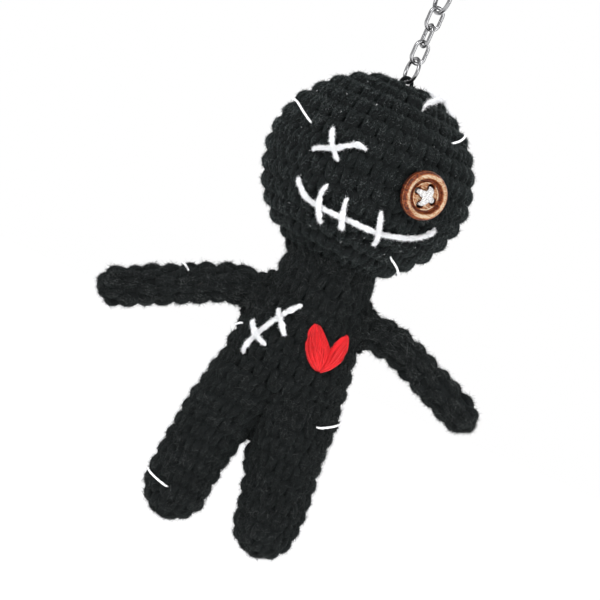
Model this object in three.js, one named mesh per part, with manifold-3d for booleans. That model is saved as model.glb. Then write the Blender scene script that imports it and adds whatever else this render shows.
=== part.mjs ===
// Crocheted doll key chain: a stuffed black doll with a button eye, a yarn mouth,
// yarn scars and a satin-stitched heart, hanging from a split ring by a short chain.
// Millimetres. +Z up along the doll, the face looks to -Y, the viewer's right is +X.
// The origin is the inside top of the split ring, where the key chain hangs.
import * as THREE from 'three';
import { mergeVertices } from 'three/addons/utils/BufferGeometryUtils.js';
import Module from 'manifold-3d';

const wasm = await Module();
wasm.setup();

// ---- driving dimensions, in the doll's own frame (its head's centre is 0,0,0) ----
const GAP = 0.3;                       // clearance between touching pieces

const HEAD_A = 27.2;                   // head half width
const HEAD_DEPTH = 0.912;              // head depth over width
const HEAD_TOP = 26.0;                 // centre to crown
const HEAD_LOW = 27.4;                 // centre to the virtual chin
const HEAD_WALL = 2.6;                 // thickness of the crocheted fabric
const HEAD_CUT = -24.2;                // neck opening of the head
const NECK_HOLE_R = 9.4;

const TORSO_TOP = -26.2;
const TORSO_WALL = 2.5;
// height, centre x, half width, half depth
const TORSO = [
  [-26.2, 1.0, 12.1, 11.2],
  [-30.0, 1.2, 12.6, 11.0],
  [-35.0, 1.0, 13.4, 11.0],
  [-40.0, 0.9, 14.7, 11.3],
  [-45.0, 0.7, 15.6, 11.6],
  [-50.0, 0.7, 16.1, 11.8],
  [-57.0, 0.8, 17.0, 11.8],
  [-65.0, 0.5, 18.2, 11.4],
  [-72.0, 0.3, 19.2, 10.9],
  [-78.0, 0.2, 19.6, 10.4],
];
const NECK_X = 0.6;                    // axis the body turns about under the head

const HIP_Z = -73.5;                   // hip axis, along X
const HIP_R = 9.2;                     // rounded top of each leg
const HIP_FORWARD = 45;                // degrees, leg swing the torso leaves room for
const HIP_BACK = 20;
const LEFT_LEG = [
  [-60.0, -10.5, 8.9, 9.2],
  [-73.5, -10.6, 8.9, 9.2],
  [-80.0, -11.6, 8.6, 9.0],
  [-90.0, -12.4, 8.2, 8.5],
  [-93.0, -12.4, 8.0, 8.3],
];
const RIGHT_LEG = [
  [-60.0, 9.6, 9.8, 9.2],
  [-73.5, 9.7, 9.9, 9.2],
  [-80.0, 10.6, 9.6, 9.1],
  [-90.0, 12.2, 8.6, 8.7],
  [-93.0, 12.7, 8.3, 8.5],
];
const LEG_WALL = 2.4;
const FOOT_Z = -93.0;                  // where the foot starts to round off
const FOOT_H = 8.3;

const ARM_WALL = 2.1;
// the arms' centre lines, from the shoulder pivot to the hand's centre: x, z
const LEFT_ARM = { r: 5.25, line: [[-18.0, -38.8], [-23.5, -40.6], [-31.0, -44.0], [-39.0, -47.8], [-47.0, -51.9]] };
const RIGHT_ARM = { r: 4.85, line: [[18.75, -36.8], [24.0, -37.8], [30.0, -40.1], [36.5, -43.3], [46.5, -47.3]] };

const YARN_R = 0.68;                   // white embroidery yarn
const FINE_R = 0.3;                    // fine white thread of the edge stitches
const SEAM_R = 0.55;                   // black sewing yarn

const BUTTON_R = 6.25;
const BUTTON_T = 2.8;
const BUTTON_AT = [14.7, 0.5];         // x, z of its centre on the head
const BUTTON_HOLE_R = 0.85;
const BUTTON_HOLE_AT = 2.6;
const BUTTON_TURN = -12;               // degrees the four holes are turned

const HARDWARE_YAW = 25;               // degrees the chain is turned about the vertical
const LOOP_Z = 26.9;                   // top of the yarn loop's centre line
const LOOP_R = 0.8;
const CROWN_RING = { R: 3.3, r: 0.5 };
const LINK = { R: 1.8, r: 0.5, straight: 2.4 };
const LINKS = 3;
const TOP_RING = { R: 3.85, r: 0.55 };
const KEY_RING = { R: 11.2, half: 0.85, turn: 0.575, pitch: 1.3 };

// ---- helpers ----
const AXIS = null;
const rad = THREE.MathUtils.degToRad;
const V = (x, y, z) => new THREE.Vector3(x, y, z);

// drops every attribute but position, merges shared vertices, removes slivers and points faces out
function closed(source) {
  let g = source.clone();
  for (const name of Object.keys(g.attributes)) if (name !== 'position') g.deleteAttribute(name);
  g = mergeVertices(g, 1e-4);
  const p = g.attributes.position, idx = g.index.array, kept = [];
  let volume = 0;
  const a = V(0, 0, 0), b = V(0, 0, 0), c = V(0, 0, 0);
  for (let i = 0; i < idx.length; i += 3) {
    const [i0, i1, i2] = [idx[i], idx[i + 1], idx[i + 2]];
    if (i0 === i1 || i1 === i2 || i0 === i2) continue;
    kept.push(i0, i1, i2);
    a.fromBufferAttribute(p, i0); b.fromBufferAttribute(p, i1); c.fromBufferAttribute(p, i2);
    volume += a.dot(b.cross(c));
  }
  if (volume < 0) for (let i = 0; i < kept.length; i += 3) [kept[i + 1], kept[i + 2]] = [kept[i + 2], kept[i + 1]];
  g.setIndex(kept);
  return g;
}

function solid(g) {
  const m = closed(g);
  return new wasm.Manifold(new wasm.Mesh({
    numProp: 3,
    vertProperties: new Float32Array(m.attributes.position.array),
    triVerts: new Uint32Array(m.index.array),
  }));
}

function geometry(manifold) {
  const m = manifold.getMesh();
  const g = new THREE.BufferGeometry();
  g.setAttribute('position', new THREE.BufferAttribute(new Float32Array(m.vertProperties), 3));
  g.setIndex(new THREE.BufferAttribute(new Uint32Array(m.triVerts), 1));
  return g;
}

// linear interpolation in a table of sections
function section(table) {
  return (z) => {
    if (z >= table[0][0]) return table[0].slice(1);
    for (let i = 1; i < table.length; i++) {
      if (z >= table[i][0]) {
        const t = (z - table[i][0]) / (table[i - 1][0] - table[i][0]);
        return [1, 2, 3].map((k) => table[i][k] + t * (table[i - 1][k] - table[i][k]));
      }
    }
    return table[table.length - 1].slice(1);
  };
}

function legSection(table) {
  const plain = section(table);
  return (z) => {
    const [cx, hw, hd] = plain(z);
    if (z > FOOT_Z) return [cx, hw, hd];
    const k = Math.sqrt(Math.max(0, 1 - ((z - FOOT_Z) / FOOT_H) ** 2));
    return [cx, hw * k, hd * k];
  };
}

const headSection = (z) => {
  const k = Math.sqrt(Math.max(0, 1 - (z / (z > 0 ? HEAD_TOP : HEAD_LOW)) ** 2));
  return [0, HEAD_A * k, HEAD_A * HEAD_DEPTH * k];
};

// a lathe whose profile gives (inset from the section's edge, height); AXIS is the centre line
function body(profile, sec, segments) {
  const g = new THREE.LatheGeometry(
    profile.map(([inset, h]) => new THREE.Vector2(inset === AXIS ? 0 : 100 - inset, h)), segments);
  const p = g.attributes.position;
  for (let i = 0; i < p.count; i++) {
    const r = Math.hypot(p.getX(i), p.getZ(i)), phi = Math.atan2(p.getX(i), p.getZ(i)), h = p.getY(i);
    const [cx, hw, hd] = sec(h);
    if (r < 1e-6) p.setXYZ(i, cx, 0, h);
    else p.setXYZ(i, cx + (hw - (100 - r)) * Math.sin(phi), -(hd - (100 - r)) * Math.cos(phi), h);
  }
  return g;
}

// a lathe about Z, flattened front to back
function turned(profile, segments, depth = 1) {
  const g = new THREE.LatheGeometry(profile.map(([r, h]) => new THREE.Vector2(r, h)), segments);
  g.rotateX(Math.PI / 2);
  g.scale(1, depth, 1);
  return g;
}

function ellipseArc(a, top, low, fromZ, toZ, steps) {
  const out = [];
  const t0 = Math.asin(THREE.MathUtils.clamp(fromZ / (fromZ > 0 ? top : low), -1, 1));
  const t1 = Math.asin(THREE.MathUtils.clamp(toZ / (toZ > 0 ? top : low), -1, 1));
  for (let i = 0; i <= steps; i++) {
    const t = t0 + (t1 - t0) * i / steps;
    out.push([a * Math.cos(t), (t > 0 ? top : low) * Math.sin(t)]);
  }
  return out;
}

// a point at a distance off a section's surface; phi 0 is the front and 90 degrees the viewer's right
function onSurface(sec, z, phi, off) {
  const at = (zz, f) => { const [cx, hw, hd] = sec(zz); return V(cx + hw * Math.sin(f), -hd * Math.cos(f), zz); };
  const p = at(z, phi), e = 1e-3;
  const du = at(z, phi + e).sub(at(z, phi - e)), dv = at(z + e, phi).sub(at(z - e, phi));
  return p.add(du.cross(dv).normalize().multiplyScalar(off));
}
function frontPhi(sec, x, z) {
  const [cx, hw] = sec(z);
  return Math.asin(THREE.MathUtils.clamp((x - cx) / hw, -0.9999, 0.9999));
}

function circle(r, sides) {
  const s = new THREE.Shape();
  for (let i = 0; i < sides; i++) {
    const a = 2 * Math.PI * (i + 0.5) / sides;
    if (i) s.lineTo(r * Math.cos(a), r * Math.sin(a)); else s.moveTo(r * Math.cos(a), r * Math.sin(a));
  }
  s.closePath();
  return s;
}
function strand(points, r, steps, sides = 6) {
  return new THREE.ExtrudeGeometry(circle(r, sides), {
    steps, bevelEnabled: false, extrudePath: new THREE.CatmullRomCurve3(points, false, 'centripetal'),
  });
}
// a strand laid over a surface: points are (x, height, extra lift) as seen from the front
const laid = (sec, pts, r, steps) =>
  strand(pts.map(([x, z, lift = 0]) => onSurface(sec, z, frontPhi(sec, x, z), r + GAP + 0.15 + lift)), r, steps);
// a strand that runs from the front over the outline: points are (phi in degrees, height)
const wrapped = (sec, pts, r, steps) =>
  strand(pts.map(([phi, z, lift = 0]) => onSurface(sec, z, rad(phi), r + GAP + 0.15 + lift)), r, steps);

// ---- materials ----
const mat = (color, roughness, metalness = 0) => new THREE.MeshStandardMaterial({ color, roughness, metalness });
const BLACK = mat(0x17191a, 0.95), WHITE = mat(0xe9e8ec, 0.85), RED = mat(0xd81d25, 0.55);
const FILL = mat(0xe6e4dd, 1.0), WOOD = mat(0xb9773f, 0.5), STEEL = mat(0xc6c8cb, 0.28, 1.0);

const doll = new THREE.Group();
function add(group, name, g, material) {
  const mesh = new THREE.Mesh(closed(g), material);
  mesh.name = name;
  group.add(mesh);
  return mesh;
}

// ---- head ----
const headOuter = [
  [0, 24.0], [3.4, 24.0], [5.0, 25.35],
  ...ellipseArc(HEAD_A, HEAD_TOP, HEAD_LOW, 25.0, 0, 7),
  ...ellipseArc(HEAD_A, HEAD_TOP, HEAD_LOW, -0.001, HEAD_CUT, 6).slice(1),
];
const inA = HEAD_A - HEAD_WALL, inTop = 24.0 - HEAD_WALL, inLow = HEAD_LOW - HEAD_WALL;
const inCut = -inLow * Math.sqrt(1 - (NECK_HOLE_R / inA) ** 2);
const headInner = [
  [NECK_HOLE_R, HEAD_CUT],
  ...ellipseArc(inA, inTop, inLow, inCut, 0, 4),
  ...ellipseArc(inA, inTop, inLow, 0.001, inTop, 5).slice(1, -1),
  [0, inTop],
];
add(doll, 'head_cover', turned([...headOuter, ...headInner], 28, HEAD_DEPTH), BLACK);

const g2 = 0.4;
const stuffR = NECK_HOLE_R - g2 - 0.1;
const stuffLow = -(inLow - g2) * Math.sqrt(1 - (stuffR / (inA - g2)) ** 2);
add(doll, 'head_stuffing', turned([
  [0, inTop - g2],
  ...ellipseArc(inA - g2, inTop - g2, inLow - g2, inTop - g2, 0, 5).slice(1),
  ...ellipseArc(inA - g2, inTop - g2, inLow - g2, -0.001, stuffLow, 4).slice(1),
  [stuffR, HEAD_CUT + 0.2], [0, HEAD_CUT + 0.2],
], 22, HEAD_DEPTH), FILL);

const neckSeam = new THREE.TorusGeometry(11.0, SEAM_R, 5, 22);
neckSeam.translate(NECK_X, 0, (HEAD_CUT + TORSO_TOP) / 2);
add(doll, 'neck_seam', neckSeam, BLACK);

// ---- torso: a tube open at the neck and at the hips, with a seat for each arm and for the legs ----
const torsoSec = section(TORSO);
const outerZ = [-26.2, -30, -35, -40, -45, -50, -57, -65, -72, -78];
let torso = solid(body([[AXIS, -26.2], ...outerZ.map((z) => [0, z]), [AXIS, -78]], torsoSec, 24));
const innerZ = [-25.0, -30, -35, -40, -45, -50, -57, -65, -72, -79];
const cavity = solid(body([[AXIS, -25.0], ...innerZ.map((z) => [TORSO_WALL, z]), [AXIS, -79]], torsoSec, 20));
let fill = solid(body([[AXIS, TORSO_TOP - 0.3], ...[-26.5, -30, -35, -40, -45, -50, -57, -65, -72, -78]
  .map((z) => [TORSO_WALL + 0.45, z]), [AXIS, -78]], torsoSec, 18));

// room for the legs: a round seat about the hip axis, opened in front and behind for the leg's swing
function hipRoom(r) {
  const s = new THREE.Shape();
  const pts = [];
  const f = rad(HIP_FORWARD), b = rad(HIP_BACK);
  const front = [-r * Math.cos(f), r * Math.sin(f)];
  pts.push([-30, -12], [front[0] - 25 * Math.sin(f), front[1] - 25 * Math.cos(f)]);
  for (let i = 0; i <= 12; i++) {
    const a = Math.PI - f - (Math.PI - f - b) * i / 12;
    pts.push([r / Math.cos(Math.PI / 48) * Math.cos(a), r / Math.cos(Math.PI / 48) * Math.sin(a)]);
  }
  pts.push([r * Math.cos(b) + 4 * Math.sin(b), 0], [30, 0], [30, -12]);
  pts.forEach(([y, z], i) => (i ? s.lineTo(y, z) : s.moveTo(y, z)));
  s.closePath();
  const g = new THREE.ExtrudeGeometry(s, { depth: 60, bevelEnabled: false });
  // shape (y, z) extruded along x
  g.applyMatrix4(new THREE.Matrix4().set(0, 0, 1, -30, 1, 0, 0, 0, 0, 1, 0, HIP_Z, 0, 0, 0, 1));
  return solid(g);
}
torso = torso.subtract(cavity).subtract(hipRoom(HIP_R + 0.45));
fill = fill.subtract(hipRoom(HIP_R + 0.75));

const seats = [];
for (const arm of [LEFT_ARM, RIGHT_ARM]) {
  const [x, z] = arm.line[0];
  const ball = new THREE.SphereGeometry(arm.r + 0.45, 18, 12);
  ball.translate(x, 0, z);
  torso = torso.subtract(solid(ball));
  const side = Math.sign(x);
  const seamAt = side * Math.abs(x) - side * (arm.r - 1.6);
  const groove = new THREE.TorusGeometry(arm.r + 1.2, SEAM_R + GAP + 0.08, 6, 16);
  groove.rotateY(Math.PI / 2); groove.translate(seamAt, 0, z);
  torso = torso.subtract(solid(groove));
  const seam = new THREE.TorusGeometry(arm.r + 1.2, SEAM_R, 5, 16);
  seam.rotateY(Math.PI / 2); seam.translate(seamAt, 0, z);
  seats.push([side < 0 ? 'left_shoulder_seam' : 'right_shoulder_seam', seam]);
}
add(doll, 'torso_cover', geometry(torso), BLACK);
add(doll, 'torso_stuffing', geometry(fill), FILL);
for (const [name, g] of seats) add(doll, name, g, BLACK);

// ---- legs: rounded about the hip axis at the top, with an opening there for the stuffing ----
function hipCap(r) {
  const cyl = new THREE.CylinderGeometry(r / Math.cos(Math.PI / 28), r / Math.cos(Math.PI / 28), 60, 28);
  cyl.rotateZ(Math.PI / 2); cyl.translate(0, 0, HIP_Z);
  const box = new THREE.BoxGeometry(60, 40, 40);
  box.translate(0, 0, HIP_Z - 20);
  return solid(cyl).add(solid(box));
}
for (const [side, table] of [['left', LEFT_LEG], ['right', RIGHT_LEG]]) {
  const sec = legSection(table);
  const zs = [-62, -73.5, -80, -86, -90, -93, -96, -98.4, -100.2];
  const outer = solid(body([[AXIS, -62], ...zs.map((z) => [0, z]), [AXIS, FOOT_Z - FOOT_H]], sec, 18)).intersect(hipCap(HIP_R));
  const inset = (w, top) => solid(body([[AXIS, top], ...[top, -68, -73.5, -80, -86, -90, -93, -95.5].map((z) => [w, z]),
    [w + 1.6, -97.2 + (w - LEG_WALL)], [AXIS, -98.2 + (w - LEG_WALL)]], sec, 14));
  // the opening at the top is narrower than the tube
  const mouth = new THREE.CylinderGeometry(4.6, 4.6, 14, 14);
  mouth.rotateX(Math.PI / 2); mouth.translate(table[1][1], 0, HIP_Z + 4);
  const hollow = inset(LEG_WALL, HIP_Z + HIP_R - LEG_WALL - 1.6);
  add(doll, `${side}_leg_cover`, geometry(outer.subtract(hollow).subtract(solid(mouth))), BLACK);
  add(doll, `${side}_leg_stuffing`, geometry(inset(LEG_WALL + 0.4, HIP_Z + HIP_R - LEG_WALL - 2.1)), FILL);
}

// ---- arms: tubes with a ball end at the shoulder and a rounded hand ----
function armGeometry(arm, profile, segments) {
  const curve = new THREE.CatmullRomCurve3(arm.line.map(([x, z]) => V(x, 0, z)), false, 'centripetal');
  const length = curve.getLength();
  const g = new THREE.LatheGeometry(profile(length).map(([r, s]) => new THREE.Vector2(r, s)), segments);
  const p = g.attributes.position;
  for (let i = 0; i < p.count; i++) {
    const s = p.getY(i), u = THREE.MathUtils.clamp(s / length, 0, 1);
    const c = curve.getPointAt(u), t = curve.getTangentAt(u);
    c.addScaledVector(t, s - u * length);
    const n = V(-t.z, 0, t.x);
    p.setXYZ(i, c.x + n.x * p.getX(i), p.getZ(i), c.z + n.z * p.getX(i));
  }
  return g;
}
for (const [side, arm] of [['left', LEFT_ARM], ['right', RIGHT_ARM]]) {
  const w = ARM_WALL, R = arm.r;
  const cap = (r, s0, dir, steps, from = 90) => Array.from({ length: steps + 1 }, (_, i) => {
    const a = rad(from * (1 - i / steps));
    return [r * Math.cos(a), s0 + dir * r * Math.sin(a)];
  });
  const tube = (r, mouth) => (L) => {
    const a0 = Math.asin(mouth / r);
    const start = Array.from({ length: 5 }, (_, i) => {
      const a = a0 + (Math.PI / 2 - a0) * i / 4;
      return [r * Math.sin(a), -r * Math.cos(a)];
    });
    return [start, Array.from({ length: 5 }, (_, i) => [r, L * (i + 1) / 6]),
      cap(r, L, 1, 4).reverse()];
  };
  const cover = (L) => {
    const [s, m, e] = tube(R, 2.2)(L);
    const inner = tube(R - w, 2.2)(L);
    const out = [...s, ...m, ...e.map(([r, h]) => [Math.max(0, r), h])];
    out[out.length - 1][0] = 0;
    const back = [...inner[0], ...inner[1], ...inner[2].map(([r, h]) => [Math.max(0, r), h])];
    back[back.length - 1][0] = 0;
    return [...back, ...out.slice().reverse(), back[0]].slice(0, -1);
  };
  // profile from the axis inside the hand, along the inner wall to the mouth, and back outside
  const shell = (L) => {
    const c = cover(L), half = c.length / 2;
    return [...c.slice(0, half).reverse(), ...c.slice(half).reverse()];
  };
  add(doll, `${side}_arm_cover`, armGeometry(arm, shell, 12), BLACK);
  const plug = (L) => {
    const r = R - w - 0.35;
    const [s, m, e] = tube(r, 1.6)(L);
    const out = [...s, ...m, ...e];
    out[out.length - 1] = [0, out[out.length - 1][1]];
    return [[0, s[0][1]], ...out];
  };
  add(doll, `${side}_arm_stuffing`, armGeometry(arm, plug, 9), FILL);
}

// ---- button eye, sewn on with a cross of white thread ----
const eyeAt = onSurface(headSection, BUTTON_AT[1], frontPhi(headSection, BUTTON_AT[0], BUTTON_AT[1]), GAP + 0.1);
const eyeAxis = onSurface(headSection, BUTTON_AT[1], frontPhi(headSection, BUTTON_AT[0], BUTTON_AT[1]), 1)
  .sub(onSurface(headSection, BUTTON_AT[1], frontPhi(headSection, BUTTON_AT[0], BUTTON_AT[1]), 0));
eyeAxis.z = 0;
eyeAxis.normalize();
const eye = new THREE.Group();
eye.position.copy(eyeAt);
{
  const up = V(0, 0, 1), right = up.clone().cross(eyeAxis).normalize();
  eye.quaternion.setFromRotationMatrix(new THREE.Matrix4().makeBasis(right, up, eyeAxis));
}
doll.add(eye);
const t = BUTTON_T;
let button = solid(turned([
  [0, 0], [5.2, 0], [6.0, 0.5], [BUTTON_R, 1.4], [6.05, 2.25], [5.45, t - 0.05], [4.8, t],
  [4.3, t - 0.35], [4.05, t - 0.9], [3.75, t - 0.85], [3.55, t - 0.5], [2.4, t - 0.75], [0, t - 0.85],
], 30));
const holes = [0, 1, 2, 3].map((i) => rad(90 * i + BUTTON_TURN));
for (const a of holes) {
  const drill = new THREE.CylinderGeometry(BUTTON_HOLE_R, BUTTON_HOLE_R, 8, 10);
  drill.rotateX(Math.PI / 2); drill.translate(BUTTON_HOLE_AT * Math.cos(a), BUTTON_HOLE_AT * Math.sin(a), 1);
  button = button.subtract(solid(drill));
}
add(eye, 'button_eye', geometry(button), WOOD);
const bar = (a) => {
  const c = Math.cos(a), s = Math.sin(a), h = BUTTON_HOLE_AT;
  const at = (u, z) => V(u * c, u * s, z);
  return solid(strand([at(-h, 0.3), at(-h, 1.2), at(-h + 0.05, 2.1), at(-1.7, 2.95), at(0, 3.15), at(1.7, 2.95), at(h - 0.05, 2.1), at(h, 1.2), at(h, 0.3)], 0.5, 12, 6));
};
add(eye, 'button_thread', geometry(bar(holes[0]).add(bar(holes[1]))), WHITE);

// ---- white yarn on the face ----
const H = headSection;
add(doll, 'eye_stitch_long', laid(H, [[-15.2, -0.1], [-12.9, 1.6], [-10.0, 2.9], [-7.4, 4.6], [-5.4, 5.4], [-2.7, 5.4]], YARN_R, 12), WHITE);
add(doll, 'eye_stitch_short', laid(H, [[-12.4, 7.0, 0.2], [-11.5, 4.8, 1.2], [-10.5, 2.9, 1.85], [-9.4, 1.3, 1.2], [-8.2, 0.0, 0.2]], YARN_R, 8), WHITE);
add(doll, 'mouth_yarn', laid(H, [[-16.2, -7.6], [-14.7, -9.9], [-12.5, -11.7], [-9.8, -12.3], [-7.0, -12.8], [-3.5, -12.9],
  [0, -12.9], [4.5, -13.0], [8.5, -12.9], [13.0, -12.0], [16.0, -11.1], [18.5, -9.8], [20.3, -8.2], [21.9, -6.2]], YARN_R, 30), WHITE);
const over = 1.85;
add(doll, 'mouth_stitch_1', laid(H, [[-8.5, -7.2], [-8.3, -10.3, 1.0], [-7.4, -12.7, over], [-6.6, -14.6, 1.0], [-5.8, -16.3]], YARN_R, 8), WHITE);
add(doll, 'mouth_stitch_2', laid(H, [[-2.2, -8.0], [-1.7, -10.6, 1.0], [-1.0, -12.9, over], [-0.4, -14.8, 1.0], [0.2, -16.3]], YARN_R, 8), WHITE);
add(doll, 'mouth_stitch_3', laid(H, [[7.1, -7.3], [8.0, -10.3, 1.0], [8.7, -12.9, over], [9.0, -14.8, 1.0], [9.2, -16.5]], YARN_R, 8), WHITE);

// ---- scar over the head's upper right edge: one stitch in front, its seam line just behind the outline ----
const crown = (pts, r, steps) => strand(pts.map(([x, y, lift = 0]) => {
  const b = HEAD_A * HEAD_DEPTH;
  const zz = HEAD_TOP * Math.sqrt(1 - (x / HEAD_A) ** 2 - (y / b) ** 2);
  const n = V(x / HEAD_A ** 2, y / b ** 2, zz / HEAD_TOP ** 2).normalize();
  return V(x, y, zz).addScaledVector(n, r + GAP + 0.15 + lift);
}), r, steps);
add(doll, 'head_scar_stitch', crown([[6.7, -13.2], [7.4, -9.5], [8.1, -5.5], [8.8, -1.5, 1.0], [9.3, 2.2, 1.9], [9.8, 6.2]], YARN_R, 12), WHITE);
add(doll, 'head_scar_yarn', crown([[4.4, 2.6], [7.5, 2.4], [10.8, 2.3], [14.0, 2.3], [17.0, 2.2]], YARN_R, 10), WHITE);

// ---- chest: a scar and a heart ----
const T = torsoSec;
add(doll, 'chest_scar_yarn', laid(T, [[-1.8, -37.8], [-3.8, -40.3], [-5.6, -42.8], [-7.3, -45.9], [-8.8, -48.9], [-9.8, -51.8], [-10.4, -54.6]], YARN_R, 14), WHITE);
add(doll, 'chest_scar_stitch_1', laid(T, [[-6.9, -41.1], [-6.2, -42.0, 1.0], [-5.5, -42.9, over], [-4.3, -44.5, 1.0], [-2.9, -46.3]], YARN_R, 8), WHITE);
add(doll, 'chest_scar_stitch_2', laid(T, [[-12.3, -46.2], [-10.7, -47.6, 1.0], [-8.9, -49.2, over], [-7.6, -50.2, 1.0], [-6.4, -50.9]], YARN_R, 8), WHITE);

const patchZ = [-36, -40, -45, -50, -55];
const skin = (off) => solid(body([[AXIS, -36], ...patchZ.map((z) => [-off, z]), [AXIS, -55]], torsoSec, 48));
const patch = skin(1.45).subtract(skin(GAP + 0.15));
const LEFT_LOBE = [[8.75, -45.9], [8.1, -43.9], [6.9, -42.2], [5.5, -40.7], [3.9, -40.2], [2.9, -41.1], [2.6, -43.0], [3.2, -45.3], [4.3, -48.0], [5.6, -50.0], [7.3, -51.0], [8.2, -51.2]];
const RIGHT_LOBE = [[9.45, -45.9], [9.8, -44.0], [10.6, -42.0], [12.3, -40.3], [13.3, -42.2], [13.8, -44.2], [13.7, -46.2], [12.9, -48.2], [11.4, -49.7], [9.6, -50.9], [8.6, -51.2]];
for (const [name, outline] of [['heart_left_lobe', LEFT_LOBE], ['heart_right_lobe', RIGHT_LOBE]]) {
  const s = new THREE.Shape();
  outline.forEach(([x, z], i) => (i ? s.lineTo(x, -z) : s.moveTo(x, -z)));
  s.closePath();
  const prism = new THREE.ExtrudeGeometry(s, { depth: 30, bevelEnabled: false });
  prism.applyMatrix4(new THREE.Matrix4().set(1, 0, 0, 0, 0, 0, -1, 0, 0, -1, 0, 0, 0, 0, 0, 1));
  add(doll, name, geometry(patch.intersect(solid(prism))), RED);
}

// ---- short stitches of fine white thread over the edges ----
const A = (arm, s, phi) => {
  const curve = new THREE.CatmullRomCurve3(arm.line.map(([x, z]) => V(x, 0, z)), false, 'centripetal');
  const u = s / curve.getLength(), c = curve.getPointAt(u), tt = curve.getTangentAt(u);
  const n = V(-tt.z, 0, tt.x), up = n.z > 0 ? n : n.clone().negate();
  const r = arm.r + FINE_R + GAP + 0.1;
  return c.addScaledVector(up, r * Math.cos(rad(phi))).add(V(0, -r * Math.sin(rad(phi)), 0));
};
add(doll, 'edge_stitch_head_left', wrapped(H, [[-43, 6.2], [-55, 7.6], [-68, 9.0], [-82, 10.1], [-97, 10.8]], FINE_R, 10), WHITE);
add(doll, 'edge_stitch_head_right', wrapped(H, [[53, 15.4], [64, 16.6], [76, 17.5], [90, 18.0]], FINE_R, 8), WHITE);
add(doll, 'edge_stitch_chin', wrapped(H, [[46, -17.1], [58, -18.3], [72, -19.3], [95, -20.1]], FINE_R, 8), WHITE);
add(doll, 'edge_stitch_arm', strand([A(LEFT_ARM, 13.4, 68), A(LEFT_ARM, 14.1, 45), A(LEFT_ARM, 14.8, 22), A(LEFT_ARM, 15.3, 0), A(LEFT_ARM, 15.6, -18)], FINE_R, 8), WHITE);
add(doll, 'edge_stitch_side', wrapped(T, [[-64, -47.8], [-76, -48.5], [-90, -49.0], [-106, -49.2]], FINE_R, 8), WHITE);
const RL = legSection(RIGHT_LEG), LL = legSection(LEFT_LEG);
add(doll, 'edge_stitch_thigh', wrapped(T, [[47, -65.0], [58, -63.9], [72, -62.9], [92, -62.0]], FINE_R, 8), WHITE);
add(doll, 'edge_stitch_foot', wrapped(LL, [[-14, -94.3], [-34, -93.6], [-56, -92.8], [-78, -92.1], [-96, -91.7]], FINE_R, 10), WHITE);

// ---- hardware: yarn loop, jump ring, oval links, top ring and split ring ----
const hardware = new THREE.Group();
hardware.rotation.z = rad(HARDWARE_YAW);
doll.add(hardware);
const loopPts = [V(-2, 0, 24.35)];
for (let i = 0; i <= 8; i++) {
  const a = Math.PI * (1 - i / 8);
  loopPts.push(V(2 * Math.cos(a), 0, LOOP_Z - 2 + 2 * Math.sin(a)));
}
loopPts.push(V(2, 0, 24.35));
add(hardware, 'crown_loop', strand(loopPts, LOOP_R, 14, 8), BLACK);

// a ring stands in the XZ plane, or in the YZ plane when turned
function ring(R, r, straight, z, across, around, sides = 8) {
  const g = new THREE.TorusGeometry(R, r, sides, around);
  const p = g.attributes.position;
  for (let i = 0; i < p.count; i++) {
    const y = p.getY(i);
    if (Math.abs(y) > 1e-4) p.setY(i, y + Math.sign(y) * straight / 2);
  }
  g.rotateX(Math.PI / 2);
  if (across) g.rotateZ(Math.PI / 2);
  g.translate(0, 0, z);
  return g;
}
let z = LOOP_Z - (LOOP_R + GAP + CROWN_RING.r);             // lowest point of the jump ring's centre line
add(hardware, 'crown_ring', ring(CROWN_RING.R, CROWN_RING.r, 0, z + CROWN_RING.R, true, 22, 6), STEEL);
let top = z + 2 * CROWN_RING.R, above = CROWN_RING.r;
for (let i = 0; i < LINKS; i++) {
  z = top - (above + GAP + LINK.r);
  const length = 2 * LINK.R + LINK.straight;
  add(hardware, `chain_link_${i + 1}`, ring(LINK.R, LINK.r, LINK.straight, z + length / 2, i % 2 === 1, 20, 6), STEEL);
  top = z + length;
  above = LINK.r;
}
z = top - (above + GAP + TOP_RING.r);
add(hardware, 'top_ring', ring(TOP_RING.R, TOP_RING.r, 0, z + TOP_RING.R, LINKS % 2 === 1, 24, 6), STEEL);
top = z + 2 * TOP_RING.R;
const keyLow = top - (TOP_RING.r + 0.6 + KEY_RING.half);
const keyCentre = keyLow + KEY_RING.R;

// the split ring: two turns of flat wire side by side, with one crossing step
class SplitRing extends THREE.Curve {
  getPoint(u, target = new THREE.Vector3()) {
    const deg = 20 + u * 680;
    const k = THREE.MathUtils.smoothstep(deg, 342, 378);
    const a = rad(deg);
    return target.set(KEY_RING.R * Math.cos(a), (k - 0.5) * KEY_RING.pitch, KEY_RING.R * Math.sin(a));
  }
}
const w = KEY_RING.turn, h = KEY_RING.half, c = 0.26;
const flat = new THREE.Shape();
[[w, h - c], [w - c, h], [c - w, h], [-w, h - c], [-w, c - h], [c - w, -h], [w - c, -h], [w, c - h]]
  .forEach(([a, b], i) => (i ? flat.lineTo(a, b) : flat.moveTo(a, b)));
flat.closePath();
const split = new THREE.ExtrudeGeometry(flat, { steps: 44, bevelEnabled: false, extrudePath: new SplitRing() });
split.translate(0, 0, keyCentre);
add(hardware, 'key_ring', split, STEEL);

// the origin is the inside top of the split ring
doll.position.z = -(keyCentre + KEY_RING.R - KEY_RING.half);
const keychain = new THREE.Group();
keychain.add(doll);
keychain.updateMatrixWorld(true);

export default keychain;
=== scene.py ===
"""Crocheted doll key chain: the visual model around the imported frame. Lengths below are millimetres in the doll's own
frame (its head's centre is 0,0,0, +Z up, the face looks to -Y); OFF moves them to the row frame, whose origin is the
inside top of the split ring."""
import math

import bmesh
import bpy
import numpy as np
from mathutils import Matrix, Vector
from mathutils.bvhtree import BVHTree
from mathutils.kdtree import KDTree


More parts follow.
